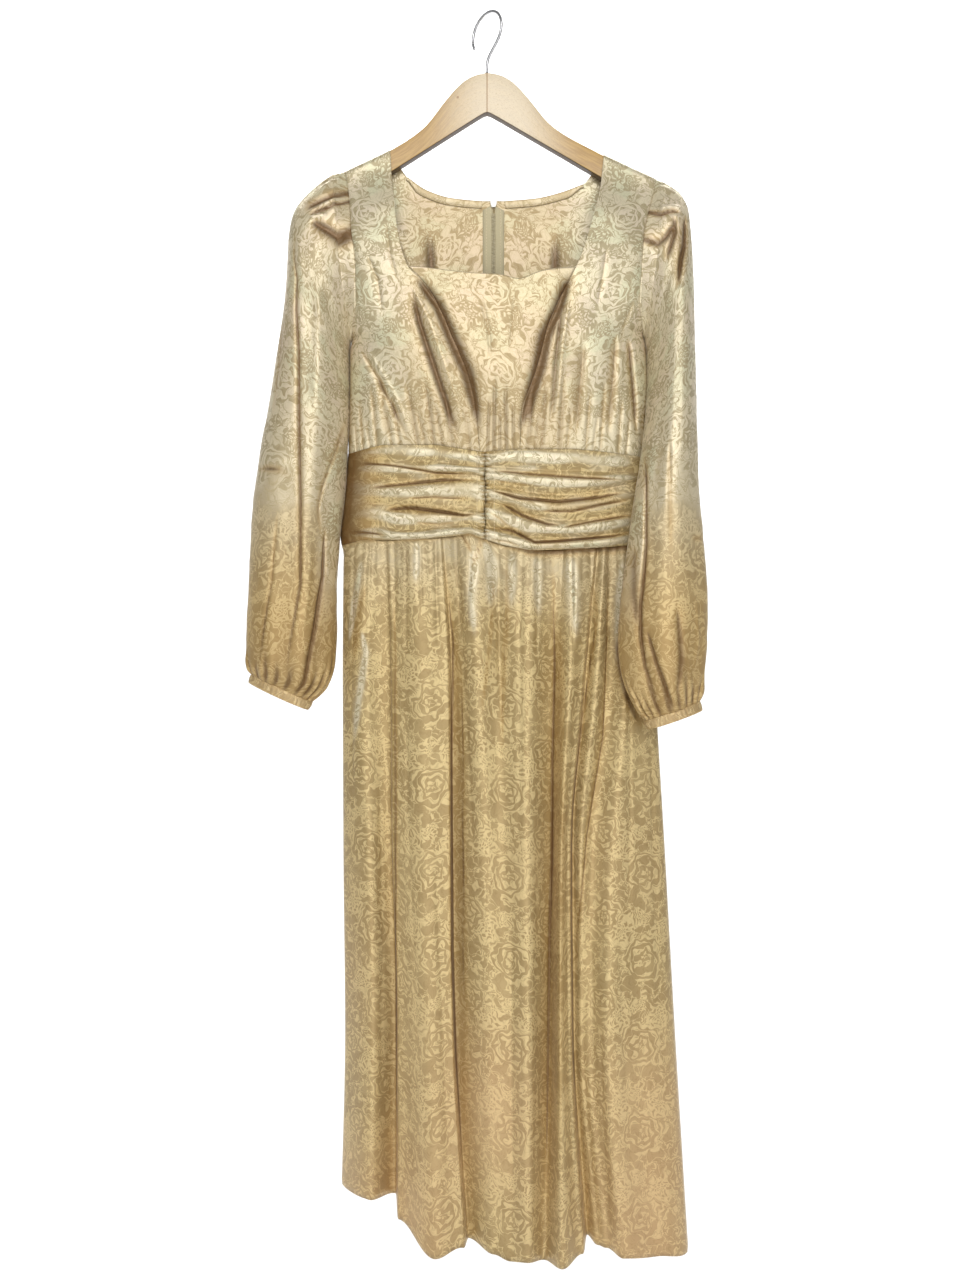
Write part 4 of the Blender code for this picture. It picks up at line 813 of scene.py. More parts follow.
def gather_lines(table, face):
    """Turns the short gathers into furrows that start under the band."""
    lines = []
    for start, end, top, depth, half in table:
        foot = float(band_edge(face, start, "top")) - 8
        middle = (mix(start, end, 0.45), mix(foot, top, 0.5))
        lines.append((depth, half, 0.25 * (-1) ** len(lines), ((start, foot), middle, (end, top))))
    return lines


# Strength of the painted shade over the middle of the front and back.
INNER_SHADE = {"front": 0.27, "back": 0.33}
BODICE_RELIEF = {
    "front": list(FRONT_CREASES) + gather_lines(FRONT_GATHERS, "front"),
    "back": list(BACK_CREASES) + gather_lines(BACK_GATHERS, "back"),
}


def bodice_relief(face, x, z):
    """How far the bodice's cloth stands out from its smooth shape."""
    relief = furrows(x, z, BODICE_RELIEF[face])
    seed = 3 if face == "front" else 9
    low = ease((-400 - z) / 120)
    fine = 0.22 * soft_noise(x / 9, z / 15, seed + 1) * (0.4 + low)
    relief += 0.5 * soft_noise(x / 26 + 9, z / 34, seed) + fine
    relief += 0.7 * ease((-440 - z) / 70)
    relief *= ease((shoulder_height(x) - z) / 30) * 0.85 + 0.15
    return relief


def zip_seam(x):
    """How far the back sinks in along the seam over the zip."""
    return 0.5 * np.exp(-((x - ZIP_X) / 1.6) ** 2)


def under_band(face, x, z, y):
    """The last millimetres of cloth go down behind the band."""
    top = band_edge(face, x, "top")
    behind = ease((top + 4.5 - z) / 5.0)
    return y + (1 if face == "front" else -1) * behind * 2.4


# %% [markdown]
# ## The bodice's panels
# Each panel is a grid between its inner and outer edge. Rows follow the cut edges, and columns crowd toward
# the side, where the cloth turns round. The panels meet edge to edge at their seams.


# %% Bodice panels
def side_shares(count, crowd=0.62):
    """Shares of the way to the side seam that crowd together toward it."""
    s = np.linspace(0, 1, count)
    return (1 - crowd) * s + crowd * np.sin(np.pi * s / 2)


def bodice_grid(side, face, columns):
    """Grid of a side front or a back, from its inner edge to the side seam and the armhole."""
    inner, outer = bodice_edges(side, face)
    rows = fine_rows(inner, outer)
    a, b = edge_line(inner, rows), edge_line(outer, rows)
    share = side_shares(columns)[None, :]
    x = mix(a[:, :1], b[:, :1], share)
    z = mix(a[:, 1:], b[:, 1:], share)
    foot = band_edge(face, x[:1], "top") - TUCKED_UNDER
    z += (foot - z[:1]) * np.clip(1 - rows, 0, 1)[:, None]
    sign = -1 if face == "front" else 1
    calm = ease((1 - share) / 0.06)
    if face == "back":
        calm = calm * ease(share / 0.06)
    y = cloth_y(face, x, z) + sign * bodice_relief(face, x, z) * calm
    y = under_band(face, x, z, y)
    if face == "back":
        y -= zip_seam(x)
    return np.stack([x, y, z], axis=-1)


def bodice_look(grid, face):
    """Warmth, painted sheen and painted shade of the bodice's points."""
    x, z = grid[..., 0], grid[..., 2]
    deep = furrows(x, z, BODICE_RELIEF[face])
    # Painted sheen, strongest high on the bodice.
    painted_sheen = 0.85 - 0.25 * ease((-400 - z) / 130)
    # Painted shadow beside the sleeves, painted shade over the middle and painted shade in the creases.
    to_side = np.minimum(x - side_x["left"](z), side_x["right"](z) - x)
    beside_sleeve = 0.6 * np.exp(-(to_side / 4) ** 2) * ease((-380 - z) / 20)
    inner = INNER_SHADE[face] * ease((130 - np.abs(x)) / 60)
    shade = np.clip(np.clip(-deep / 4.0, 0, 1) ** 1.2 * 0.8 + beside_sleeve + inner, 0, 0.9)
    return np.zeros_like(x) + 0.05, painted_sheen, shade


for side in SIDES:
    for face, part, columns in (("front", "side_front", 104), ("back", "back", 80)):
        grid = bodice_grid(side, face, columns)
        turn = (face == "front") == (side == "left")
        add_satin(f"bodice_{part}_{side}", grid, bodice_look(grid, face), turn)

# %% [markdown]
# The centre front is drawn between the two princess seams and ends in the neckline, which dips a little in
# its middle because nothing holds it there.

# %% Centre front
NECK_DIP = 9.0
NECK_SAG, NECK_SAG_X = 7.0, 38.0
rows_of = fine_rows(np.array(PRINCESS["left"], float), np.array(PRINCESS["right"], float), 2.6)
a, b = (edge_line(np.array(PRINCESS[side], float), rows_of) for side in SIDES)
share = np.linspace(0, 1, 76)[None, :]
x = mix(a[:, :1], b[:, :1], share)
z = mix(a[:, 1:], b[:, 1:], share)
z += (band_edge("front", x[:1], "top") - TUCKED_UNDER - z[:1]) * np.clip(1 - rows_of, 0, 1)[:, None]
z -= NECK_DIP * np.sin(np.pi * share) ** 1.5 * np.clip(rows_of - 6, 0, 1)[:, None]
z -= NECK_SAG * np.exp(-((x - NECK_SAG_X) / 17) ** 2) * np.clip(rows_of - 5, 0, 2)[:, None] ** 1.5 / 2.8
y = under_band("front", x, z, cloth_y("front", x, z) - bodice_relief("front", x, z))
grid = np.stack([x, y, z], axis=-1)
add_satin("bodice_centre_front", grid, bodice_look(grid, "front"))

# %% [markdown]
# ## The ruched midriff
# The band's cloth is cut longer than the band is high, and a gathering thread down its middle draws it into
# soft folds that fan out to the side seams. Each fold is a height at the side, halfway and at the centre, as
# a share of the band's height, and how far it stands out. Valleys are pinched and ridges are round.

# %% Midriff
SHIRRING_X = -2.5
BAND_TOP_LEVEL, BAND_BOTTOM_LEVEL = -527.0, -637.0
BAND_FOLDS = {
    "left": (
        # height at the side, halfway and at the centre, stands out
        (0.00, 0.00, 0.00, 0.0), (0.03, 0.09, 0.09, 2.5), (0.08, 0.17, 0.18, -1.5), (0.19, 0.26, 0.22, 3.0),
        (0.32, 0.35, 0.28, -2.5), (0.45, 0.50, 0.45, 3.5), (0.57, 0.65, 0.68, -2.5), (0.69, 0.78, 0.78, 3.0),
        (0.80, 0.89, 0.88, -1.0), (0.92, 0.96, 0.95, 3.5), (1.00, 1.00, 1.00, 0.5),
    ),
    "right": (
        (0.00, 0.00, 0.00, 0.0), (0.09, 0.10, 0.09, 3.0), (0.19, 0.21, 0.17, -2.0), (0.24, 0.33, 0.27, 3.5),
        (0.30, 0.45, 0.38, -3.0), (0.45, 0.58, 0.46, 4.0), (0.62, 0.71, 0.56, -2.5), (0.73, 0.80, 0.70, 3.5),
        (0.84, 0.88, 0.84, -1.5), (0.93, 0.95, 0.93, 4.5), (1.00, 1.00, 1.00, 0.5),
    ),
}
BAND_CREASES = (
    # depth, half width, lean and points of the lines that are pressed into the band
    (3.4, 1.9, 0.5, ((-141, -571), (-92, -566), (-52, -562), (-6, -563))),
    (2.4, 1.6, 0.3, ((-158, -540), (-110, -545), (-60, -554), (-8, -556))),
    (3.8, 2.4, 0.5, ((-124, -597), (-90, -594), (-50, -600), (-28, -604), (-4, -603))),
    (2.0, 1.5, 0.0, ((-168, -622), (-140, -624), (-116, -628))),
    (1.8, 1.5, 0.0, ((-96, -584), (-60, -583), (-10, -586))),
    (1.0, 1.8, 0.0, ((-88, -612), (-56, -615), (-34, -611))),
    (2.6, 1.7, 0.3, ((2, -552), (50, -556), (110, -560), (176, -563))),
    (3.8, 2.2, 0.5, ((0, -574), (38, -584), (84, -588), (134, -582), (176, -574))),
    (3.2, 2.0, 0.5, ((16, -590), (46, -606), (72, -615), (92, -616))),
    (2.8, 1.8, -0.4, ((60, -600), (100, -600), (150, -589), (182, -582))),
    (2.4, 1.6, 0.3, ((84, -620), (120, -612), (160, -605), (184, -601))),
    (3.4, 2.0, 0.5, ((0, -618), (30, -622), (56, -636), (90, -634), (150, -628), (186, -618))),
    (1.2, 1.6, 0.0, ((0, -632), (24, -636), (44, -643))),
    (0.9, 1.4, 0.0, ((4, -562), (30, -568), (56, -570))),
    (1.0, 1.4, 0.0, ((0, -600), (14, -608), (30, -622))),
)
BACK_BAND_CREASES = (
    # depth, half width, lean, and the points (x, z) that it runs through
    (1.6, 2.0, 0.3, ((-150, -552), (-100, -548), (-50, -550), (-22, -549))),
    (1.6, 2.0, -0.3, ((-156, -590), (-104, -596), (-60, -592), (-24, -596))),
    (1.4, 1.8, 0.2, ((-140, -618), (-90, -612), (-40, -616))),
    (1.6, 2.0, 0.3, ((38, -556), (90, -560), (140, -552), (180, -556))),
    (1.6, 2.0, -0.3, ((40, -586), (96, -582), (150, -592), (186, -588))),
    (1.4, 1.8, 0.2, ((44, -616), (110, -620), (170, -612))),
)
SHIRR_PITCH = 5.2
BAND_FADE = 0.25


def fold_falls(folds, place):
    """Where each fold runs at places along the band, as shares of its height: one row for each fold."""
    side, middle, centre = (np.array([fold[k] for fold in folds])[:, None] for k in range(3))
    near = mix(side, middle, ease(place[None, :] / 0.5))
    return np.where(place[None, :] < 0.5, near, mix(middle, centre, ease((place[None, :] - 0.5) / 0.5)))


def band_relief(face, x, z, off_centre):
    """The band's creases and unevenness, its puckers at the gathering thread and how deep its seam is."""
    if face == "back":
        relief = furrows(x, z, BACK_BAND_CREASES) * ease((off_centre - 12) / 20)
        pucker = np.zeros_like(x)
        seam = 0.5 * np.exp(-(off_centre / 1.6) ** 2)
    else:
        wave = np.sin(2 * np.pi * z / SHIRR_PITCH + 1.4 * np.sin(z / 7.0))
        relief = furrows(x, z, BAND_CREASES) + 1.1 * wave * np.exp(-(off_centre / 6.5) ** 2)
        relief = relief + 0.5 * np.sin(2 * np.pi * z / 9.3 + 2) * np.exp(-(off_centre / 18.0) ** 2)
        pucker = wave * np.exp(-(off_centre / 5.0) ** 2)
        seam = 2.0 * np.exp(-(off_centre / 3.0) ** 2)
    relief = relief + 0.35 * soft_noise(x / 24, z / 9, 21) + 0.2 * soft_noise(x / 9, z / 7, 22)
    return relief, pucker, seam


def band_look(side, face, x, z, share, stand, pucker):
    """Warmth, painted sheen and painted shade of the band: lit ridges, shaded creases and ends."""
    table = BAND_CREASES if face == "front" else BACK_BAND_CREASES
    creased = np.clip(-furrows(x, z, table) / 2.2, 0, 1)
    around_crease = np.clip(-furrows(x, z, widened(table, 2.8)) / 3.5, 0, 1)
    # Painted sheen on the ridges and puckers, in random patches.
    painted_sheen = 0.12 + 0.5 * ease((stand - 0.3) / 2.6) * (1 - creased) + 0.35 * pucker
    painted_sheen = painted_sheen + 0.3 * soft_noise(x / 26, z / 9, 41)
    # Painted shade in the creases, around them, in the valleys and between the puckers.
    shade = 0.92 * creased ** 1.3 * ease((1 - share) / BAND_FADE)
    shade = shade + 0.25 * around_crease + 0.3 * np.clip(-0.1 - stand / 5, 0, 1)
    shade = shade - 0.5 * np.minimum(pucker, 0)
    # Painted shadow at the band's ends beside the sleeves, strongest on the left front.
    shade = shade + (0.85 if side == "left" else 0.55) * np.exp(-((1 - share) / 0.045) ** 2)
    if side == "left" and face == "front":
        shade = shade + 0.75 * ease((share - 0.66) / 0.3)
    return np.full(shade.shape, 0.03), np.clip(painted_sheen, 0, 0.85), np.clip(shade, 0, 0.9)


def band_grid(side, face, columns, steps):
    """Grid and look of a quarter of the band, from the middle to the side seam."""
    folds = BAND_FOLDS[side]
    middle_x = SHIRRING_X if face == "front" else ZIP_X
    strength = 1.0 if face == "front" else 0.6
    share = side_shares(columns, 0.55)
    falls = fold_falls(folds, 1 - share)
    stands = np.array([fold[3] for fold in folds]) * strength
    position = np.linspace(0, len(folds) - 1, (len(folds) - 1) * steps + 1)
    index = np.minimum(position.astype(int), len(folds) - 2)
    part = position - index
    rising = stands[index + 1] > stands[index]
    shaped = np.where(rising, 1 - (1 - part) ** 1.8, part ** 1.8)
    shaped = mix(shaped, ease(part), 0.45)
    out = mix(stands[index], stands[index + 1], shaped)[:, None]
    fall = mix(falls[index], falls[index + 1], part[:, None])
    top_x, bottom_x = float(side_x[side](BAND_TOP_LEVEL)), float(side_x[side](BAND_BOTTOM_LEVEL))
    top = band_edge(face, mix(middle_x, top_x, share), "top")[None, :]
    bottom = band_edge(face, mix(middle_x, bottom_x, share), "bottom")[None, :]
    level = mix(BAND_TOP_LEVEL, BAND_BOTTOM_LEVEL, fall)
    x = mix(middle_x, side_x[side](level), share[None, :])
    z = mix(top, bottom, fall)
    fade = ease((1 - share) / BAND_FADE)[None, :]
    stand = out * fade
    if face == "back":
        stand = stand * ease((share - 0.09) / 0.3)[None, :]
    relief, pucker, seam = band_relief(face, x, z, np.abs(x - middle_x))
    relief = 1.25 * relief * fade * ease(np.minimum(fall, 1 - fall) / 0.04) + 0.7
    sign = -1 if face == "front" else 1
    y = cloth_y(face, x, z) + sign * (stand + relief - seam)
    return np.stack([x, y, z], axis=-1), band_look(side, face, x, z, share[None, :], stand, pucker)


for side in SIDES:
    for face, columns, steps in (("front", 96, 10), ("back", 56, 6)):
        grid, look = band_grid(side, face, columns, steps)
        add_satin(f"midriff_{face}_{side}", grid, look, (face == "front") == (side == "right"))

# %% [markdown]
# ## The gathered skirt
# The skirt is much wider than the waist. It is gathered into the band, and the fullness falls in long folds
# that grow toward the hem. A lip is the edge of a fold that stands over its neighbour and a tuck is the deep
# turn beside it, which reads as a crisp dark line. Each fold has its place and how far it stands out at five
# heights.

# %% Skirt folds
SKIRT_LEVELS = (0.0, 0.2, 0.45, 0.7, 1.0)
SKIRT_FRONT_FOLDS = (
    # columns to the next fold, places x, stands out, hem z
    (3, (-172, -174, -174, -173, -178), (0, 0, 0, 0, 0), -1412),
    (3, (-144, -153, -143, -138, -139), (4, 6, 6, 8, 12), -1406),
    (1, (-120, -115, -113.5, -108, -109), (-3, -8, -13, -19, -26), -1412),
    (3, (-116, -111, -109.5, -104, -104), (-1, 0, 0, -2, -6), -1430),
    (3, (-86, -78, -75, -69, -61), (5, 7, 8, 10, 14), -1457),
    (1, (-56, -46, -44, -41, -27), (-1, 0, 0, 0, 0), -1448),
    (3, (-52, -42, -40, -37, -22), (-4, -10, -13, -15, -17), -1446),
    (2, (-20, -11, -3, 3, 8), (5, 5, 3, 2, 0), -1452),
    (2, (15, 15, 18, 24, 26), (-2, -3, -2, 0, 3), -1456),
    (3, (48, 46, 45, 45, 45), (5, 6, 6, 8, 10), -1452),
    (3, (81, 78, 74, 72, 65), (-3, -10, -12, -14, -6), -1457),
    (2, (106, 95, 84, 82, 83), (5, 8, 10, 13, 18), -1452),
    (1, (127, 110, 94, 94, 108), (0, 0, 0, 0, -2), -1446),
    (1, (131, 115, 99, 100, 115), (-4, -9, -12, -15, -22), -1436),
    (2, (138, 127, 108, 108, 126), (3, 2, -3, -9, -12), -1442),
    (2, (147, 143, 121, 117, 136), (-3, -7, -8, -6, -6), -1442),
    (2, (161, 164, 146, 138, 153), (3, 4, 4, 8, 8), -1446),
    (2, (179, 182, 178, 177, 193), (0, 0, 0, 0, 0), -1452),
    (0, (195, 200, 211, 221, 235), (0, 0, 0, 0, 0), -1460),
)
SKIRT_BACK_FOLDS = {
    # columns to the next fold, places x, stands out, hem z
    "left": (
        (3, (-172, -174, -174, -173, -178), (0, 0, 0, 0, 0), -1412),
        (3, (-140, -142, -138, -136, -138), (4, 6, 8, 10, 14), -1432),
        (3, (-108, -104, -100, -96, -96), (-3, -8, -12, -14, -16), -1440),
        (3, (-70, -68, -64, -60, -58), (5, 7, 9, 12, 16), -1450),
        (3, (-38, -34, -30, -28, -26), (-2, -7, -10, -12, -12), -1450),
        (0, (8, 8, 8, 10, 12), (0, 2, 4, 6, 8), -1455),
    ),
    "right": (
        (2, (8, 8, 8, 10, 12), (0, 2, 4, 6, 8), -1455),
        (3, (48, 48, 46, 46, 48), (-2, -6, -10, -12, -14), -1454),
        (3, (76, 78, 80, 84, 88), (5, 7, 9, 12, 16), -1458),
        (3, (106, 110, 114, 118, 124), (-3, -8, -11, -14, -16), -1455),
        (3, (140, 146, 150, 156, 164), (4, 6, 8, 10, 14), -1460),
        (3, (168, 174, 182, 190, 202), (-1, -3, -5, -6, -8), -1460),
        (0, (195, 200, 211, 221, 235), (0, 0, 0, 0, 0), -1460),
    ),
}

# %% [markdown]
# Gathers are the short valleys under the band. No two are alike: each has its place at the seam, where it
# fades out, its length, depth and half width. Longer pressed lines and a few marks left by packing follow,
# and then lines of painted shade and painted highlight along the front's folds; one shade line is a painted
# shadow of the right cuff.

# %% Skirt gathers, creases, painted shade and painted highlights
SKIRT_FRONT_GATHERS = (
    # place at the seam, place at its end, length, depth, half width
    (-165, -167, 60, 1.6, 2.6), (-157, -161, 110, 2.2, 3.0), (-147, -150, 70, 1.8, 2.6),
    (-137, -146, 150, 2.4, 3.2), (-129, -131, 55, 1.6, 2.4), (-110, -107, 120, 2.4, 3.0),
    (-103, -100, 60, 1.6, 2.3), (-95, -94, 160, 2.2, 3.2), (-87, -88, 50, 1.5, 2.3),
    (-79, -76, 105, 2.2, 2.8), (-69, -68, 62, 1.7, 2.5), (-61, -57, 140, 2.2, 2.8), (-44, -41, 55, 1.6, 2.4),
    (-36, -30, 125, 2.6, 3.0), (-28, -26, 48, 1.6, 2.2), (-19, -22, 90, 2.4, 2.8), (-10, -20, 64, 2.6, 2.8),
    (-1, 2, 52, 1.8, 2.4), (6, 8, 100, 2.0, 2.8), (13, 14, 180, 2.8, 3.4), (23, 20, 70, 2.0, 2.6),
    (31, 31, 48, 1.6, 2.2), (41, 36, 130, 2.6, 3.0), (51, 50, 60, 1.8, 2.4), (60, 56, 150, 2.4, 3.0),
    (69, 69, 52, 1.6, 2.3), (90, 86, 80, 2.0, 2.8), (99, 100, 130, 2.4, 3.0), (112, 110, 60, 1.8, 2.5),
    (121, 124, 95, 2.2, 2.8), (143, 140, 110, 2.4, 2.8), (152, 154, 58, 1.8, 2.4), (168, 168, 90, 2.0, 2.8),
    (176, 180, 52, 1.6, 2.4), (185, 189, 120, 2.0, 3.0),
)
SKIRT_BACK_GATHERS = (
    # place at the seam, place at its end, length, depth, half width
    (-162, -165, 70, 1.8, 2.6), (-151, -156, 120, 2.3, 3.0), (-128, -130, 60, 1.7, 2.5),
    (-118, -122, 140, 2.4, 3.2), (-97, -92, 80, 2.0, 2.8), (-88, -86, 52, 1.6, 2.3),
    (-80, -75, 130, 2.4, 3.0), (-58, -56, 60, 1.7, 2.5), (-49, -45, 110, 2.2, 2.9), (-30, -29, 56, 1.6, 2.4),
    (-18, -16, 70, 1.6, 2.6), (30, 30, 60, 1.6, 2.5), (38, 36, 110, 2.2, 2.9), (60, 62, 56, 1.7, 2.4),
    (70, 72, 120, 2.4, 3.0), (90, 94, 66, 1.8, 2.6), (99, 104, 140, 2.3, 3.1), (118, 123, 58, 1.7, 2.4),
    (128, 134, 100, 2.2, 2.8), (151, 158, 64, 1.8, 2.6), (160, 168, 130, 2.3, 3.0), (179, 186, 80, 2.0, 2.8),
    (187, 193, 50, 1.5, 2.4),
)
SKIRT_FRONT_CREASES = (
    # depth, half width, lean, and the points (x, z) that it runs through
    (2.0, 3.0, 0.0, ((76, -660), (79, -780), (76, -892), (75, -1004), (72, -1088), (69, -1228), (66, -1440))),
    (1.8, 3.0, 0.4, ((143, -690), (135, -864), (115, -976), (104, -1088), (101, -1173))),
    (1.8, 4.0, 0.0, ((15, -650), (15, -760), (18, -880))),
    (-1.6, 5.0, 0.0, ((-146, -645), (-142, -760), (-138, -880))),
    (1.6, 3.0, 0.3, ((-157, -660), (-160, -800), (-159, -960))),
    (1.4, 3.0, -0.3, ((-95, -800), (-92, -960), (-84, -1120), (-78, -1300))),
    (1.6, 2.6, 0.4, ((-34, -650), (-28, -760), (-20, -900), (-12, -1060))),
    (1.2, 3.0, 0.0, ((-60, -1000), (-52, -1180), (-44, -1400))),
    (1.4, 3.0, 0.3, ((40, -700), (38, -860), (36, -1040))),
    (1.4, 3.4, -0.3, ((28, -1040), (28, -1220), (30, -1430))),
    (1.2, 3.0, 0.0, ((56, -980), (56, -1200), (52, -1400))),
    (1.4, 3.0, 0.3, ((92, -900), (90, -1060), (92, -1250))),
    (1.8, 3.4, 0.3, ((160, -660), (166, -800), (165, -960), (160, -1120))),
    (1.6, 3.4, -0.3, ((184, -720), (192, -900), (196, -1100), (206, -1320))),
    (1.4, 3.2, 0.0, ((150, -1060), (156, -1220), (166, -1430))),
    (1.2, 2.6, 0.0, ((128, -1180), (132, -1300), (140, -1420))),
    (1.2, 3.0, 0.2, ((-128, -900), (-124, -1100), (-126, -1340))),
    (-0.9, 1.6, 0.0, ((112, -1078), (140, -1075), (186, -1076))),
    (0.7, 2.0, 0.0, ((118, -1082), (121, -1140), (120, -1190))),
    (-0.8, 1.5, 0.0, ((-26, -896), (-14, -893), (-2, -895))),
    (0.6, 3.0, 0.0, ((-160, -1022), (-90, -1030), (-20, -1024), (60, -1028))),
    (0.6, 3.0, 0.0, ((-150, -1240), (-60, -1246), (30, -1240), (120, -1248))),
    (-0.6, 2.4, 0.0, ((196, -1030), (206, -1037), (214, -1046))),
)
# Lines of painted shade along the front's folds.
SKIRT_SHADE_LINES = (
    # strength, half width, lean, and the points (x, z) that it runs through
    (0.9, 2.2, 0.0, ((-109, -685), (-107, -949), (-107, -1312), (-101, -1390))),
    (1.0, 2.2, 0.0, ((-53, -636), (-40, -752), (-42, -882), (-41, -1116), (-37, -1228), (-30, -1340),
                     (-26, -1445))),
    (0.5, 1.6, 0.0, ((-30, -760), (-28, -900), (-27, -1116), (-22, -1300))),
    (1.0, 2.4, 0.0, ((77, -640), (79, -780), (76, -892), (75, -1004), (72, -1088), (70, -1228), (66, -1455))),
    (0.8, 2.0, 0.0, ((121, -650), (129, -724), (112, -836), (98, -949), (96, -1061), (98, -1228),
                     (109, -1430))),
    (0.7, 2.0, 0.0, ((143, -685), (135, -864), (115, -976), (104, -1088), (101, -1173))),
    (0.45, 5.0, 0.0, ((-143, -682), (-153, -726), (-157, -782))),
    (0.5, 1.8, 0.0, ((9, -670), (2, -765), (-8, -845))),
    (0.5, 2.6, 0.0, ((24, -640), (24, -715), (19, -790), (16, -900))),
    (0.7, 1.8, 0.0, ((-4, -628), (-19, -668))),
    (0.6, 1.8, 0.0, ((-32, -624), (-16, -652))),
    # A painted shadow cast by the right cuff.
    (0.75, 6.5, 0.0, ((152, -740), (155, -780), (161, -812), (172, -840), (190, -862))),
    (0.35, 9.0, 0.0, ((84, -700), (84, -900), (81, -1100), (78, -1300), (74, -1440))),
    (0.3, 8.0, 0.0, ((-36, -700), (-32, -900), (-32, -1100), (-24, -1400))),
)
# Lines of painted highlight along fold ridges; they raise the painted sheen.
SKIRT_GLEAM_LINES = (
    # strength, half width, lean, and the points (x, z) that it runs through
    (1.1, 4.0, 0.0, ((-149, -735), (-143, -766), (-147, -792), (-152, -824), (-158, -880))),
    (0.9, 3.5, 0.0, ((-148, -655), (-156, -700), (-166, -765))),
    (0.8, 5.0, 0.0, ((-4, -634), (6, -662), (4, -720))),
    (0.4, 4.0, 0.0, ((-82, -634), (-84, -690))),
    (0.6, 6.0, 0.0, ((-14, -636), (-18, -700), (-14, -760))),
    (0.55, 5.0, 0.0, ((30, -646), (27, -720))),
    (0.5, 5.0, 0.0, ((58, -650), (60, -730))),
    (0.6, 7.0, 0.0, ((98, -650), (104, -760))),
    (0.55, 5.0, 0.0, ((160, -650), (154, -720), (150, -800))),
)
SKIRT_BACK_CREASES = (
    # depth, half width, lean, and the points (x, z) that it runs through
    (1.8, 3.2, 0.3, ((-156, -700), (-158, -900), (-154, -1100))),
    (1.6, 3.0, -0.3, ((-124, -760), (-120, -980), (-116, -1220))),
    (1.6, 3.0, 0.3, ((-84, -720), (-80, -940), (-74, -1200))),
    (1.6, 3.0, -0.3, ((-52, -700), (-46, -920), (-42, -1180))),
    (1.6, 3.0, 0.3, ((60, -700), (62, -920), (68, -1200))),
    (1.6, 3.0, -0.3, ((92, -760), (98, -980), (104, -1240))),
    (1.6, 3.0, 0.3, ((124, -720), (130, -940), (140, -1200))),
    (1.6, 3.0, -0.3, ((156, -740), (164, -960), (180, -1240))),
    (1.4, 3.0, 0.2, ((182, -700), (192, -900), (204, -1160))),
    (0.6, 3.0, 0.0, ((-150, -1030), (-60, -1024), (30, -1030), (150, -1026))),
    (0.6, 3.0, 0.0, ((-150, -1244), (0, -1240), (200, -1246))),
)


SKIRT_LINES = {
    "front": (SKIRT_FRONT_GATHERS, SKIRT_FRONT_CREASES),
    "back": (SKIRT_BACK_GATHERS, SKIRT_BACK_CREASES),
}
HEM_TURNING = 14


def skirt_places(folds, fine):
    """Columns counted along the folds, several to each coarse column and never fewer than six to a span."""
    places = []
    for index, fold in enumerate(folds[:-1]):
        steps = max(6, fold[0] * fine)
        places += [index + k / steps for k in range(steps)]
    return np.array(places + [len(folds) - 1.0])


def skirt_relief(face, x, z, drop):
    """Gathers, creases and small unevenness of the skirt's cloth."""
    gathers, creases = SKIRT_LINES[face]
    lines = []
    for start, end, length, depth, half in gathers:
        middle = (mix(start, end, 0.4), length * 0.45)
        depth *= 0.5 if length < 75 else 0.85
        lines.append((depth, half, 0.3 * (-1) ** len(lines), ((start, -6), middle, (end, length))))
    relief = furrows(x, drop, lines) + furrows(x, z, creases)
    relief += 1.6 * ease(drop / 9) * ease((70 - drop) / 60)
    near = ease((170 - drop) / 150)
    fine_share = 0.18 + 0.35 * near
    relief += soft_noise(x / 21 + 3, z / 70, 31) * 0.7 + soft_noise(x / 8.5, z / 26, 32) * fine_share
    return relief + np.clip(soft_noise(x / 13, z / 17, 33), 0.2, 1) * 0.6 * near


def skirt_grid(face, folds, fine, rows, ends):
    """Grid of a skirt panel. Ends says which seams its first and last column are: side or centre."""
    place = skirt_places(folds, fine)
    fall = np.linspace(0, 1, rows)
    fall = fall * (0.62 + 0.38 * fall)
    index = np.minimum(place.astype(int), len(folds) - 2)
    part = place - index
    round_part = (1 - np.cos(np.pi * part)) / 2
    xs = np.stack([curve(SKIRT_LEVELS, fold[1])(fall) for fold in folds], axis=1)
    outs = np.stack([curve(SKIRT_LEVELS, fold[2])(fall) for fold in folds], axis=1)
    hems = np.array([fold[3] for fold in folds], float)
    x = mix(xs[:, index], xs[:, index + 1], part[None, :])
    out = mix(outs[:, index], outs[:, index + 1], round_part[None, :])
    top_x = np.array([fold[1][0] for fold in folds], float)
    top_x = mix(top_x[index], top_x[index + 1], part)
    top = band_edge(face, top_x, "bottom")[None, :] + TUCKED_UNDER
    hem = mix(hems[index], hems[index + 1], round_part)[None, :]
    z = mix(top, hem, fall[:, None])
    if ends[0] == "side":
        x = x + (side_x["left"](z) - xs[:, :1]) * np.clip(1 - place, 0, 1)[None, :]
    if ends[1] == "side":
        last = len(folds) - 1
        x = x + (side_x["right"](z) - xs[:, -1:]) * np.clip(1 - (last - place), 0, 1)[None, :]
    drop = top - z
    relief = skirt_relief(face, x, z, drop)
    from_end = np.minimum(place if ends[0] == "side" else 9 + place, len(folds) - 1 - place)
    if ends[1] == "centre":
        from_end = np.minimum(place, 9.0)
    calm = ease(from_end / 0.35)[None, :] * np.ones_like(x)
    if face == "back":
        calm = calm * ease((np.abs(x - ZIP_X) - 3) / 16)
    sign = -1 if face == "front" else 1
    behind = ease((TUCKED_UNDER + 4 - drop) / 6.0)
    stitched = 0.35 * np.exp(-((z - hem - HEM_TURNING) / 1.3) ** 2)
    turned_up = 0.3 * ease((HEM_TURNING - (z - hem)) / 3)
    out = out * (1 - 0.6 * behind) + (relief * calm) * (1 - behind) - 1.6 * behind + turned_up - stitched
    y = cloth_y(face, x, z) + sign * out
    if face == "back":
        y -= zip_seam(x)
    return np.stack([x, y, z], axis=-1), out, drop


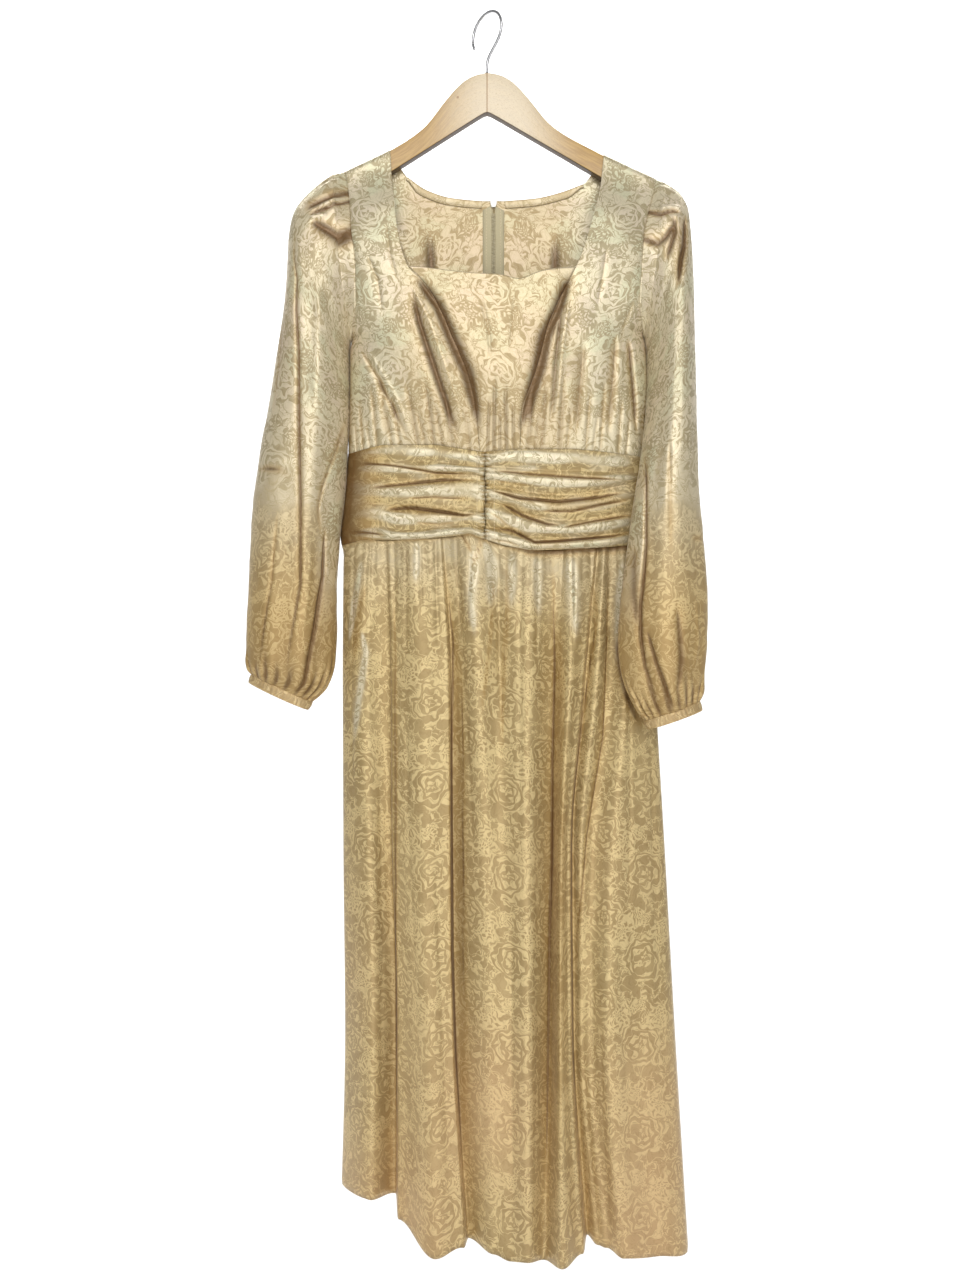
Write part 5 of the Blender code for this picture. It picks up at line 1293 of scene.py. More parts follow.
def skirt_look(face, grid, out, drop):
    """Warmth, painted sheen and painted shade of a skirt panel's points."""
    x, z = grid[..., 0], grid[..., 2]
    front = face == "front"
    # The front takes painted highlight lines and painted shade lines; the back takes weaker painted shade
    # along its creases.
    if front:
        gleam = -furrows(x, z, SKIRT_GLEAM_LINES)
        line_shade = -furrows(x, z, widened(SKIRT_SHADE_LINES, 0.8))
    else:
        gleam = np.zeros_like(x)
        line_shade = -0.35 * furrows(x, z, SKIRT_BACK_CREASES)
    warmth = ease((-850 - z) / 550) * (0.45 + 0.4 * soft_noise(x / 90, z / 160, 51)) + 0.05
    # Painted sheen near the band and along the painted highlight lines.
    painted_sheen = 0.3 * ease((130 - drop) / 120) + np.clip(gleam, 0, 0.7)
    # Painted shade in deep fold valleys, along the lines and lightly all over, and a painted shadow under the
    # band's lower edge, deeper and wider on the front's right half.
    shade = np.clip(-out / 26.0, 0, 1) ** 1.3 * 0.3 + np.clip(line_shade, 0, 1)
    band_shadow_deeper = ease((x - 10) / 60) * front
    shade = shade + 0.06 + (0.55 + 0.3 * band_shadow_deeper) * ease((8 + 6 * band_shadow_deeper - drop) / (7 + 3 * band_shadow_deeper))
    return warmth, painted_sheen, np.clip(shade, 0, 0.92)


SKIRT_PANELS = (
    # node, side of the body, folds, steps to a column, rows, and the seams that its two ends are
    ("skirt_front", "front", SKIRT_FRONT_FOLDS, 6, 176, ("side", "side")),
    ("skirt_back_left", "back", SKIRT_BACK_FOLDS["left"], 7, 130, ("side", "centre")),
    ("skirt_back_right", "back", SKIRT_BACK_FOLDS["right"], 7, 130, ("centre", "side")),
)
for node, face, folds, fine, rows, ends in SKIRT_PANELS:
    grid, out, drop = skirt_grid(face, folds, fine, rows, ends)
    add_satin(node, grid, skirt_look(face, grid, out, drop), face == "back")

# %% [markdown]
# ## The bishop sleeves
# A bishop sleeve is pleated into a puffed cap at the shoulder, hangs wide and is gathered into a narrow
# cuff. Rings from the armhole to the wrist give its outer and inner line and its depth. The first ring is
# the armhole itself, point for point, so the sleeve joins the bodice without a gap. Long folds run down the
# arm, and short ones cross it where the empty sleeve has slumped.

# %% Sleeve tables
SLEEVE_RINGS = {
    "left": (
        # outer x, outer z, inner x, inner z, y, half depth
        (-185, -195, -163.5, -395, 0, 27), (-202, -208, -164, -399, 0, 30), (-218, -222, -164.5, -404, 0, 33),
        (-232, -242, -165, -411, 0, 35), (-237, -268, -165, -420, 0, 37), (-239, -304, -165, -432, 0, 38),
        (-243, -353, -165, -450, -2, 39), (-250, -406, -165.5, -472, -3, 40),
        (-258, -464, -166, -503, -5, 40), (-269, -526, -168, -545, -6, 40),
        (-278, -586, -171.5, -592, -7, 40), (-281, -641, -176, -641, -8, 40),
        (-283, -694, -179, -694, -8, 40), (-286, -741, -180, -743, -8, 38), (-286, -772, -183, -782, -8, 33),
        (-284, -784, -191, -805, -8, 26), (-280, -792, -209, -825, -8, 17),
    ),
    "right": (
        (212, -203.5, 187.5, -389, 0, 27), (223, -211, 188.5, -393, 0, 30), (233, -220, 189, -398, 0, 33),
        (240, -234, 190, -405, 0, 35), (243, -257, 190.5, -414, -1, 37), (245, -290, 191, -426, -3, 38),
        (246, -339, 191, -445, -8, 39), (245, -401, 189, -470, -16, 39), (244, -463, 185, -504, -27, 38),
        (243, -530, 178, -548, -38, 36), (244, -592, 168, -599, -48, 34), (247, -650, 160, -650, -56, 33),
        (250, -703, 152, -703, -62, 32), (249, -751, 149, -751, -64, 32), (246, -787, 153, -792, -64, 30),
        (244, -806, 165, -822, -63, 25), (241, -821, 179, -843, -62, 17),
    ),
}
SLEEVE_CLEAR = 1.6
SLEEVE_FOLDS = {
    "left": (
        # turn at cap, turn at wrist, stands out at cap, elbow, wrist, half width in degrees
        (80, 92, -3, -4, -6, 16), (48, 60, 3, 4, 6, 18), (135, 128, -2, -6, -8, 16), (108, 112, 2, 4, 6, 14),
        (232, 235, -3, -6, -7, 18), (275, 272, 3, 5, 6, 20), (310, 305, -3, -5, -6, 18),
    ),
    "right": (
        (35, 50, -5, -3, -6, 16), (70, 82, 3, 4, 5, 20), (128, 116, -2, -6, -9, 15), (100, 100, 2, 3, 4, 14),
        (235, 230, -3, -5, -6, 18), (275, 270, 3, 4, 5, 20), (312, 308, -3, -5, -6, 18),
    ),
}
TURN_SCALE = 0.72
SLEEVE_CREASES = {
    # depth, half width, lean, and points: turn in degrees round the arm, millimetres down it
    "left": (
        (2.4, 2.8, -0.4, ((24, -4), (20, 24), (12, 56))),
        (3.0, 3.0, 0.3, ((4, -4), (3, 26), (0, 60))),
        (3.2, 3.0, -0.3, ((336, -4), (344, 28), (350, 60))),
        (3.0, 3.0, 0.3, ((312, -4), (322, 26), (330, 58))),
        (1.6, 3.0, 0.0, ((250, 60), (256, 200), (248, 400), (254, 510))),
        (1.6, 3.0, 0.0, ((290, 80), (292, 240), (288, 420), (292, 515))),
        (1.6, 3.0, 0.0, ((210, 120), (214, 260), (208, 420))),
        (1.0, 3.0, 0.0, ((230, 300), (262, 310), (296, 304))),
    ),
    "right": (
        (2.4, 2.8, -0.4, ((22, -4), (17, 24), (10, 54))),
        (2.8, 3.0, 0.3, ((4, -4), (4, 26), (2, 56))),
        (3.2, 3.0, 0.3, ((338, -4), (345, 28), (352, 60))),
        (3.0, 3.0, -0.3, ((314, -4), (324, 26), (330, 58))),
        (1.6, 3.0, 0.0, ((252, 60), (256, 200), (250, 400), (254, 530))),
        (1.6, 3.0, 0.0, ((290, 80), (292, 240), (288, 420), (292, 530))),
        (1.6, 3.0, 0.0, ((212, 120), (214, 260), (208, 420))),
        (1.0, 3.0, 0.0, ((230, 280), (262, 290), (296, 284))),
    ),
}
SLEEVE_FRONT_CREASES = {
    # lines on the front of the sleeve by place (x, z)
    "left": (
        (6.5, 2.2, 0.3, ((-168, -230), (-191, -244), (-205, -250), (-209, -258))),
        (3.2, 5.5, 0.0, ((-166, -219), (-188, -230), (-207, -239), (-216, -250))),
        (-2.4, 2.4, 0.0, ((-170, -226), (-188, -237), (-203, -246))),
        (-2.4, 2.6, 0.0, ((-210, -255), (-198, -254), (-186, -252))),
        (3.8, 7.0, 0.0, ((-208, -258), (-188, -270), (-175, -278), (-165, -300))),
        (3.4, 2.0, 0.4, ((-224, -262), (-226, -302), (-222, -328), (-222, -366), (-219, -411), (-217, -521),
                         (-215, -590), (-215, -686), (-221, -719), (-228, -754), (-232, -781), (-230, -808))),
        (1.8, 1.8, 0.3, ((-166, -488), (-177, -531), (-190, -571), (-196, -596), (-191, -640))),
        (4.2, 2.0, -0.3, ((-188, -616), (-191, -678), (-200, -737), (-210, -784), (-217, -818))),
        (1.4, 1.6, 0.0, ((-242, -600), (-249, -685), (-258, -737), (-266, -792))),
        (-2.2, 1.8, 0.0, ((-231, -650), (-214, -625))),
        (-2.6, 1.9, 0.0, ((-270, -542), (-240, -549), (-216, -555))),
        (2.6, 1.9, 0.0, ((-272, -547), (-244, -554), (-222, -560))),
        (-1.4, 6.0, 0.0, ((-196, -330), (-196, -420), (-200, -500))),
        (1.2, 4.0, 0.0, ((-236, -300), (-243, -400), (-250, -500))),
        (-1.2, 3.0, 0.0, ((-204, -640), (-206, -690), (-212, -740))),
    ),
    "right": (
        (6.0, 2.4, 0.0, ((186, -255), (205, -250), (214, -247), (220, -246), (230, -250))),
        (-2.4, 2.4, 0.0, ((196, -245), (214, -242), (224, -242), (234, -247))),
        (3.0, 4.5, 0.0, ((219, -264), (209, -279), (193, -293))),
        (3.0, 4.0, 0.0, ((219, -252), (220, -273), (214, -292), (208, -312))),
        (5.5, 3.4, 0.3, ((234, -248), (231, -288), (226, -308), (221, -346))),
        (-1.4, 2.2, 0.0, ((220, -345), (232, -343), (246, -340))),
        (3.4, 2.0, -0.4, ((182, -525), (178, -591), (176, -647), (172, -689), (169, -713), (169, -749),
                          (174, -781), (187, -814), (197, -832))),
        (3.8, 1.8, 0.3, ((176, -738), (187, -776), (197, -802), (210, -834))),
        (-1.8, 1.8, 0.0, ((181, -612), (199, -642))),
        (1.2, 3.0, 0.0, ((206, -520), (204, -589), (203, -660))),
        (1.6, 4.0, 0.0, ((209, -710), (214, -773), (209, -816))),
        (1.8, 4.5, 0.0, ((165, -640), (163, -701), (166, -745))),
        (-1.0, 2.2, 0.0, ((190, -538), (220, -540), (243, -537))),
        (1.2, 2.4, 0.0, ((226, -640), (240, -636), (250, -640))),
        (-1.2, 3.0, 0.0, ((232, -700), (235, -750), (230, -790))),
    ),
}
WRIST_GATHERS = 21
WRIST_RUN = 64.0
SLEEVE_COLUMNS, SLEEVE_ROWS = 184, 186


# %% [markdown]
# The sleeves hang against the body, so below the underarm every point is moved out until it clears the
# body's cloth. The limit at a height and depth is found by halving the distance again and again.


# %% Sleeve grid
def armhole_loop(side, count):
    """Points round the armhole seam, from the shoulder down the front and up the back, and their turns."""
    inner, outer = bodice_edges(side, "front")
    rows = fine_rows(inner, outer)
    line = edge_line(outer, rows)
    line = line[line[:, 1] > UNDERARM[side][1] - 0.01][::-1]
    low, high = UNDERARM[side][1], SHOULDER_POINT[side][1]
    points = []
    for face, order in (("front", line), ("back", line[::-1][1:])):
        y = cloth_y(face, order[:, 0], order[:, 1])
        points.append(np.stack([order[:, 0], y, order[:, 1]], axis=-1))
    loop = np.concatenate(points)
    run = distances(loop)
    loop = read_along(loop, run, np.linspace(0, run[-1], count, endpoint=False))
    turn = np.arccos(np.clip(2 * (loop[:, 2] - low) / (high - low) - 1, -1, 1))
    back = np.arange(count) > np.argmin(loop[:, 2])
    return loop, np.where(back, 2 * np.pi - turn, turn)


def body_limit(side, y, z):
    """How far out the body's cloth stands at a depth and height, and where there is any."""
    left, right = side_x["left"](z), side_x["right"](z)
    edge, middle = (left if side == "left" else right), (left + right) / 2
    front = y < cloth_y("front", edge, z)

    def depth(share):
        x = mix(edge, middle, share)
        return np.where(front, cloth_y("front", x, z), cloth_y("back", x, z))

    reach = depth(np.full_like(y, 0.9))
    near, far = np.zeros_like(y), np.full_like(y, 0.9)
    for _ in range(20):
        share = (near + far) / 2
        inside = depth(share) < y
        near, far = np.where(inside == front, near, share), np.where(inside == front, share, far)
    return mix(edge, middle, (near + far) / 2), np.abs(y) <= np.abs(reach)


def sleeve_folds(side, degrees, share):
    """How far the long folds stand out at turns round the arm and shares of the way down."""
    stand = np.zeros_like(degrees)
    for cap_turn, wrist_turn, cap, elbow, wrist, half in SLEEVE_FOLDS[side]:
        big = curve((0.0, 0.25, 0.65, 1.0), (0.0, cap, elbow, wrist))(share)
        off = (degrees - mix(cap_turn, wrist_turn, share) + 180) % 360 - 180
        calm = 0.35 if wrist_turn < 180 else 0.65
        stand += calm * big * np.exp(-((off / half) ** 2))
    return stand


def wrist_gathers(turn, to_wrist):
    """The gathers over the cuff as a wave round the arm, and how strong they are at a distance from it."""
    gathers = np.sin(WRIST_GATHERS * turn + 0.9 * np.sin(2 * turn) + 0.6 * np.sin(5 * turn))
    run = WRIST_RUN * (0.75 + 0.25 * np.sin(WRIST_GATHERS * turn / 3))
    return gathers, ease((run - to_wrist) / run) * (0.45 + 0.55 * ease(to_wrist / 12))


def clear_of_body(side, grid, below):
    """Moves points that hang beside the body out until they clear its cloth."""
    limit, there = body_limit(side, grid[..., 1], grid[..., 2])
    clear = np.maximum(SLEEVE_CLEAR - swell(side, grid[..., 2]), 0.5)
    clear = limit + (-clear if side == "left" else clear)
    moved = np.minimum(grid[..., 0], clear) if side == "left" else np.maximum(grid[..., 0], clear)
    below = (grid[..., 2] < UNDERARM[side][1]) & there & below
    grid[..., 0] = np.where(below, moved, grid[..., 0])


def sleeve_look(side, b, cos, drawn, folded, gathered):
    """Warmth, painted sheen and painted shade of the sleeve's points, b millimetres down the arm."""
    # Painted shade: a little more on the left, growing toward the cuff, in the creases, in the fold valleys
    # and between the wrist gathers.
    shade = (0.05 if side == "left" else 0.0) + 0.36 * ease((b - 330) / 190)
    shade = shade + np.clip(-drawn / 3.2, 0, 1) ** 0.8 * 0.88
    shade = shade + np.clip(-0.1 - folded / 9.0, 0, 1) ** 1.3 * (0.7 if side == "left" else 0.5)
    # Painted sheen, strongest high on the arm, with a painted highlight along the inner side.
    inner_gleam = 0.5 * ease((-cos - 0.5) / 0.35) * ease((b - 180) / 80) * ease((500 - b) / 120)
    painted_sheen = 0.8 - 0.72 * ease((b - 150) / 330) + inner_gleam
    return 0.1 + 0.04 * ease(b / 500), painted_sheen, np.clip(shade + 0.55 * gathered, 0, 0.92)


def sleeve_grid(side, count, rings):
    """Grid and look of a sleeve: rings from the armhole to the wrist, the folds standing out from them."""
    table = np.array(SLEEVE_RINGS[side], float)
    coarse = len(table)
    loop, start_turn = armhole_loop(side, count)
    k = np.linspace(0, coarse, rings)
    ring = np.clip(k, 1, coarse) - 1
    columns = [curve(np.arange(coarse), table[:, c])(ring) for c in range(6)]
    outer_x, outer_z, inner_x, inner_z, deep_y, depth = (c[:, None] for c in columns)
    middle_x, middle_z = (outer_x + inner_x) / 2, (outer_z + inner_z) / 2
    half_x, half_z = (outer_x - inner_x) / 2, (outer_z - inner_z) / 2
    steps = np.hypot(np.diff(middle_x[:, 0]), np.diff(middle_z[:, 0]))
    first = np.hypot(middle_x[0, 0] - loop[:, 0].mean(), middle_z[0, 0] - loop[:, 2].mean())
    down = np.concatenate([[0], np.cumsum(steps)]) + np.clip(k, 0, 1) * first
    even = ease(np.maximum(k, 0) / 5)[:, None]
    turn = mix(start_turn[None, :], 2 * np.pi * np.arange(count)[None, :] / count, even)
    cos, sin = np.cos(turn), np.sin(turn)
    length = np.hypot(half_x, half_z)
    away_x, away_z = half_x / length ** 2 * cos, half_z / length ** 2 * cos
    away_y = -sin / depth
    size = np.sqrt(away_x ** 2 + away_y ** 2 + away_z ** 2)
    degrees = np.degrees(turn)
    share = (k / coarse)[:, None]
    stand = sleeve_folds(side, degrees, share)
    a, b = degrees * TURN_SCALE, down[:, None] * np.ones_like(turn)
    lines = [(d, w, s, [(t * TURN_SCALE, m) for t, m in line]) for d, w, s, line in SLEEVE_CREASES[side]]
    for lap in (-360, 0, 360):
        stand += furrows(a + lap * TURN_SCALE, b, lines)
    drawn = furrows(middle_x + half_x * cos, middle_z + half_z * cos, SLEEVE_FRONT_CREASES[side])
    drawn = drawn * ease(sin / 0.12)
    stand += drawn
    to_wrist = down[-1] - b
    wrinkle = 0.7 + 0.3 * np.sin(5 * turn + 1) + 0.25 * np.sin(3 * turn)
    gathers, by_wrist = wrist_gathers(turn, to_wrist)
    stand += 2.8 * gathers * wrinkle * by_wrist
    cap_gathers = np.sin(26 * turn + np.sin(3 * turn)) * np.maximum(0, np.cos(turn))
    stand += 0.9 * cap_gathers * ease((26 - b) / 24) * ease(b / 8)
    stand += 0.8 * soft_noise(a / 22, b / 60, 41 if side == "left" else 43)
    stand += 0.35 * soft_noise(a / 9 + 4, b / 18, 42) + 0.5 * np.clip(soft_noise(a / 14, b / 15, 44), 0.1, 1)
    stand *= ease(b / 9) * (0.25 + 0.75 * ease(to_wrist / 5))
    puff = 2.0 * np.maximum(0, cos) * np.exp(-((b - 24) / 16) ** 2)
    stand += puff
    x = middle_x + half_x * cos + away_x / size * stand
    y = deep_y - depth * sin + away_y / size * stand
    z = middle_z + half_z * cos + away_z / size * stand
    grid = np.stack([x, y, z], axis=-1)
    start = np.clip(1 - k, 0, 1)[:, None, None] ** 1.4
    grid = mix(grid, loop[None], start)
    clear_of_body(side, grid, start[..., 0] == 0)
    return grid, sleeve_look(side, b, cos, drawn, stand - drawn, np.clip(-gathers, 0, 1) * by_wrist)


for side in SIDES:
    grid, look = sleeve_grid(side, SLEEVE_COLUMNS, SLEEVE_ROWS)
    add_satin(f"sleeve_{side}", grid, look, side == "left", closed=True)

# %% [markdown]
# The cuff is a narrow casing with elastic in it. It is a ring with a soft round section, and the elastic
# draws small puckers into it.

# %% Cuffs
CUFF_HEIGHT, CUFF_THICK = 10.0, 1.8
for side in SIDES:
    outer_x, outer_z, inner_x, inner_z, deep_y, depth = SLEEVE_RINGS[side][-1]
    outer, inner = np.array([outer_x, deep_y, outer_z], float), np.array([inner_x, deep_y, inner_z], float)
    centre, reach = (outer + inner) / 2, (outer - inner) / 2
    down = np.array([reach[2], 0.0, -reach[0]])
    down /= np.linalg.norm(down) * (1 if down[2] < 0 else -1)
    turn = np.linspace(0, 2 * np.pi, 168, endpoint=False)[None, :]
    fall = np.linspace(0, 1, 13)[:, None]
    pucker = 0.35 * np.sin(46 * turn + np.sin(7 * turn)) * np.sin(np.pi * fall) + 0.6 * np.sin(np.pi * fall)
    tight = 1 - 0.02 * fall
    away = np.stack([reach[0] / 40 * np.cos(turn), -np.sin(turn), reach[2] / 40 * np.cos(turn)], axis=-1)
    drop = (-1.0 + (CUFF_HEIGHT + 1) * fall)[..., None]
    grid = centre + reach * (np.cos(turn) * tight)[..., None] + down * drop
    grid[..., 1] += -depth * tight * np.sin(turn)
    grid = grid + away * pucker[..., None]
    # Painted shade between the puckers and lightly all round, with a low painted sheen.
    shade = np.clip(0.25 - pucker * 0.2, 0, 1)
    look = (np.full_like(shade, 0.3), np.full_like(shade, 0.2), shade)
    add_satin(f"cuff_{side}", grid, look, side == "left", closed=True, thick=CUFF_THICK)

# %% [markdown]
# ## The neck edge and the zip
# Inside the back neck a narrow binding hides the raw edge, and its own lower edge is turned under. Below it
# the two tapes of the zip run down the centre back, with a fine coil between them. The tapes are laid along
# the inner side of the back's own points.

# %% Back neck binding
BINDING_SECTION = (
    # distance below the neck edge, depth inside the back
    (-0.2, 1.1), (0.4, 1.45), (1.4, 1.75), (3.0, 1.95), (4.6, 2.0), (6.2, 1.95), (7.4, 1.8), (8.0, 1.6),
    (8.2, 1.35), (8.0, 1.1), (7.2, 1.0), (6.0, 0.98),
)


def inward(face, x, z, depth):
    """Points at a depth inside the smooth cloth of the front or back."""
    reach = 0.5
    across = (cloth_y(face, x + reach, z) - cloth_y(face, x - reach, z)) / (2 * reach)
    upward = (cloth_y(face, x, z + reach) - cloth_y(face, x, z - reach)) / (2 * reach)
    way = np.stack([-across, np.ones_like(across), -upward], axis=-1)
    way /= np.linalg.norm(way, axis=-1, keepdims=True)
    sign = 1 if face == "back" else -1
    return np.stack([x, cloth_y(face, x, z), z], axis=-1) - sign * way * depth[..., None]


for side in SIDES:
    sign = -1 if side == "left" else 1
    edge = np.array([point for point in BACK_EDGE[side] if point[1] >= ZIP_TOP], float)
    edge[0, 0] = ZIP_X + sign * 14.0
    rows = np.linspace(0, len(edge) - 1, 70)
    line = edge_line(edge, rows)
    along = np.gradient(line, axis=0)
    along /= np.linalg.norm(along, axis=1, keepdims=True)
    down = np.stack([along[:, 1], -along[:, 0]], axis=-1)
    down *= np.where(down[:, 1:] > 0, -1, 1)
    fall, depth = (np.array(values) for values in zip(*BINDING_SECTION))
    fall = fall * (1 - 0.55 * ease((rows / rows[-1] - 0.8) / 0.18))[:, None]
    x = line[:, :1] + down[:, :1] * fall
    z = line[:, 1:] + down[:, 1:] * fall
    grid = inward("back", x, z, np.ones_like(x) * depth)
    # Painted shade where the binding's section lies less deep, toward its edges, with an even painted sheen.
    tone = np.ones_like(x)
    look = (tone * 0.1, tone * 0.5, tone * (0.1 + (2.1 - depth) * 0.5))
    add_satin(f"neck_binding_{side}", grid, look, side == "right", thick=0.4)

# %% [markdown]
# The tape is a plain woven ribbon, so its finish is matt with a fine rib. The coil is glossier, and the
# slider and its tab are enamelled white.

# %% Tape, coil and enamel
TAPE_WIDTH = 13.0
TAPE_DROP = 3.0
PLACKET_DROP = 15.0
PLACKET_HALF = 1.6


def tape_finish():
    """Fine ribs across and down the ribbon, with specks."""
    material, tree, shader = new_finish("woven zip tape", Specular_IOR_Level=0.3, Sheen_Weight=0.2)
    place = point_values(tree, "cloth_place")
    ribs = (place.part(1) * (2 * math.pi / (0.9 * MM))).sine() * 0.5 + 0.5
    warp = (place.part(0) * (2 * math.pi / (1.2 * MM))).sine() * 0.5 + 0.5
    specks = noise(place, 900.0, 2.0)
    colour = blend(ribs * 0.5 + specks * 0.3, (0.40, 0.34, 0.20), (0.64, 0.57, 0.38))
    feed(shader, Base_Color=colour, Roughness=0.75 + specks * 0.15,
         Normal=raised(ribs * 0.5 + warp * 0.5, 0.12, 0.7))
    return material


def enamel_finish():
    """White enamel with small worn chips."""
    material, tree, shader = new_finish("white enamel", Coat_Weight=0.4, Coat_Roughness=0.1)
    wear = noise(object_place(tree), 420.0, 3.0)
    chips = wear.step(0.66, 0.7)
    feed(shader, Base_Color=blend(chips * 0.8, (0.86, 0.85, 0.81), (0.52, 0.48, 0.42)),
         Roughness=0.28 + wear * 0.15, Normal=raised(wear, 0.03, 0.4))
    return material


slot_finish["tape"] = tape_finish()
slot_finish["zip_white"] = enamel_finish()

# %% Zip tapes
cloth_grids = {node: grid for node, (piece, grid, closed) in SATIN_PIECES.items()}


def row_at(grid, x):
    """Reads a grid's rows at places x: depth and height of the cloth there."""
    found = []
    for row in grid:
        order = np.argsort(row[:, 0])
        found.append([(at, *(np.interp(at, row[order, 0], row[order, k]) for k in (1, 2))) for at in x])
    return np.array(found)


for side in SIDES:
    sign = -1 if side == "left" else 1
    places = [ZIP_X + sign * d for d in (0.2, 4.0, 8.5, TAPE_WIDTH)]
    body_rows = row_at(cloth_grids["bodice_back_" + side], places)[::-1]
    body_rows = body_rows[body_rows[:, 0, 2] < ZIP_TOP - TAPE_DROP]
    body_rows = body_rows[body_rows[:, 0, 2] > BAND_TOP_LEVEL + 3]
    band_rows = row_at(cloth_grids["midriff_back_" + side], places)[3:-3]
    skirt_rows = row_at(cloth_grids["skirt_back_" + side], places)
    heights = skirt_rows[:, 0, 2]
    skirt_rows = skirt_rows[(heights < BAND_BOTTOM_LEVEL - 5) & (heights > ZIP_END)]
    line = np.concatenate([body_rows, band_rows, skirt_rows])
    smooth = line.copy()
    for _ in range(6):
        smooth[1:-1, :, 1] = (smooth[:-2, :, 1] + smooth[2:, :, 1]) / 2
    line[..., 1] = np.minimum(line[..., 1], smooth[..., 1] + 0.3)
    open_top = ease((line[:, 0, 2] - (ZIP_TOP - PLACKET_DROP - 6)) / 6)
    line[:, 0, 0] += sign * (PLACKET_HALF - 0.2) * open_top
    line[..., 1] -= WALL / 2 + 0.3 + 0.4
    piece = cloth("zip_tape_cloth_" + side, line, thick=0.8, turn=side == "right")
    finish_piece(piece, "dress", "tape", [f"zip_tape_{side}"])
    SATIN_PIECES[f"zip_tape_{side}"] = (piece, line, False)
    print(piece.name, line.shape[:2])


# %% [markdown]
# The coil is a row of small bars that cross from tape to tape. A helper makes many small capsules in one
# mesh, and it serves the stitches as well.


# %% Coil
def capsules(name, starts, ends, radius, sides=6):
    """Many small rounded bars in one mesh, from each start to its end."""
    starts, ends = np.asarray(starts, float), np.asarray(ends, float)
    along = ends - starts
    length = np.linalg.norm(along, axis=1, keepdims=True)
    along = along / length
    helper = np.where(np.abs(along[:, 1:2]) < 0.9, np.array([[0.0, 1.0, 0.0]]), np.array([[1.0, 0.0, 0.0]]))
    one = np.cross(along, helper)
    one /= np.linalg.norm(one, axis=1, keepdims=True)
    other = np.cross(along, one)
    turns = np.linspace(0, 2 * np.pi, sides, endpoint=False)
    rings = [(starts + along * radius * back, size) for back, size in ((-0.6, 0.55), (0.2, 1.0))]
    rings += [(ends + along * radius * back, size) for back, size in ((-0.2, 1.0), (0.6, 0.55))]
    circle = one[:, None] * np.cos(turns)[:, None] + other[:, None] * np.sin(turns)[:, None]
    points = np.stack([centre[:, None] + circle * radius * size for centre, size in rings], axis=1)
    per = len(rings) * sides
    k = np.arange(sides)
    n = (k + 1) % sides
    lows = np.arange(len(rings) - 1)[:, None] * sides
    body = np.stack([lows + k, lows + sides + k, lows + sides + n, lows + n], axis=-1).reshape(-1, 4)
    bases = np.arange(len(starts)) * per
    faces = (body[None] + bases[:, None, None]).reshape(-1, 4).tolist()
    for base in bases:
        faces += [(base + k).tolist(), (base + per - sides + k)[::-1].tolist()]
    return make_mesh(name, points.reshape(-1, 3), faces)


def coil_finish():
    """Smooth nylon, dyed to match the tape."""
    material, tree, shader = new_finish("zip coil", Specular_IOR_Level=0.5, Roughness=0.35)
    tint = noise(object_place(tree), 300.0, 1.0)
    feed(shader, Base_Color=blend(tint, (0.44, 0.37, 0.22), (0.60, 0.53, 0.35)))
    return material


COIL_START, BAR_PITCH = 12.0, 1.5
BAR_HALF, BAR_SLANT, BAR_RADIUS = 2.1, 0.35, 0.5
zip_path = SATIN_PIECES["zip_tape_left"][1][:, 0]
run = distances(zip_path)
marks = np.arange(COIL_START, run[-1] - 3, BAR_PITCH)
spine = read_along(zip_path, run, marks)
spine[:, 0] = ZIP_X
spine[:, 1] -= 1.0
slant = np.where(np.arange(len(marks)) % 2 == 0, BAR_SLANT, -BAR_SLANT)
half_bar = np.stack([np.full(len(marks), BAR_HALF), np.zeros(len(marks)), -slant], axis=-1)
coil = capsules("zip_coil", spine - half_bar, spine + half_bar, BAR_RADIUS)
finish_piece(coil, "dress", "tape", material=coil_finish())
print("coil bars:", len(marks))

# %% [markdown]
# The slider and its tab are small hard parts whose plain shapes are already right. They keep their meshes
# and only get rounded edges and the enamel. The tab swings on the slider's bridge.

# %% Slider and pull tab
EDGE_WIDTH = 0.22
for name in ("zip_slider", "zip_pull"):
    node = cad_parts[name]
    node.data.materials.clear()
    node.data.materials.append(slot_finish["zip_white"])
    soft_edge = node.modifiers.new("rounded edges", "BEVEL")
    soft_edge.width = EDGE_WIDTH * MM
    soft_edge.segments = 3
    soft_edge.limit_method = "ANGLE"
    soft_edge.angle_limit = math.radians(35)

# %% [markdown]
# ## Stitches
# Short stitches show along the neck binding, along the tapes and on both sides of the gathered centre line.
# Each is a small bar of thread that lies half sunk in the cloth.


# %% Stitches
def thread_finish():
    """Twisted thread a little lighter than the cloth."""
    material, tree, shader = new_finish("sewing thread", Specular_IOR_Level=0.4, Sheen_Weight=0.3)
    twist = noise(object_place(tree), 1500.0, 1.0)
    feed(shader, Base_Color=blend(twist, (0.56, 0.45, 0.26), (0.78, 0.67, 0.44)),
         Roughness=0.5 + twist * 0.2)
    return material


thread = thread_finish()


def stitches(name, line, outward, length=2.4, gap=1.2, radius=0.28):
    """A row of stitches along a line of points on the cloth's outer side."""
    run = distances(line)
    starts = np.arange(gap, run[-1] - length, length + gap)
    raised_line = line + outward * (CLOTH_THICK / 2 + radius * 0.2)
    first, second = (read_along(raised_line, run, places) for places in (starts, starts + length))
    finish_piece(capsules(name, first, second, radius, 5), "dress", "satin", material=thread)
    print(name, len(starts), "stitches")


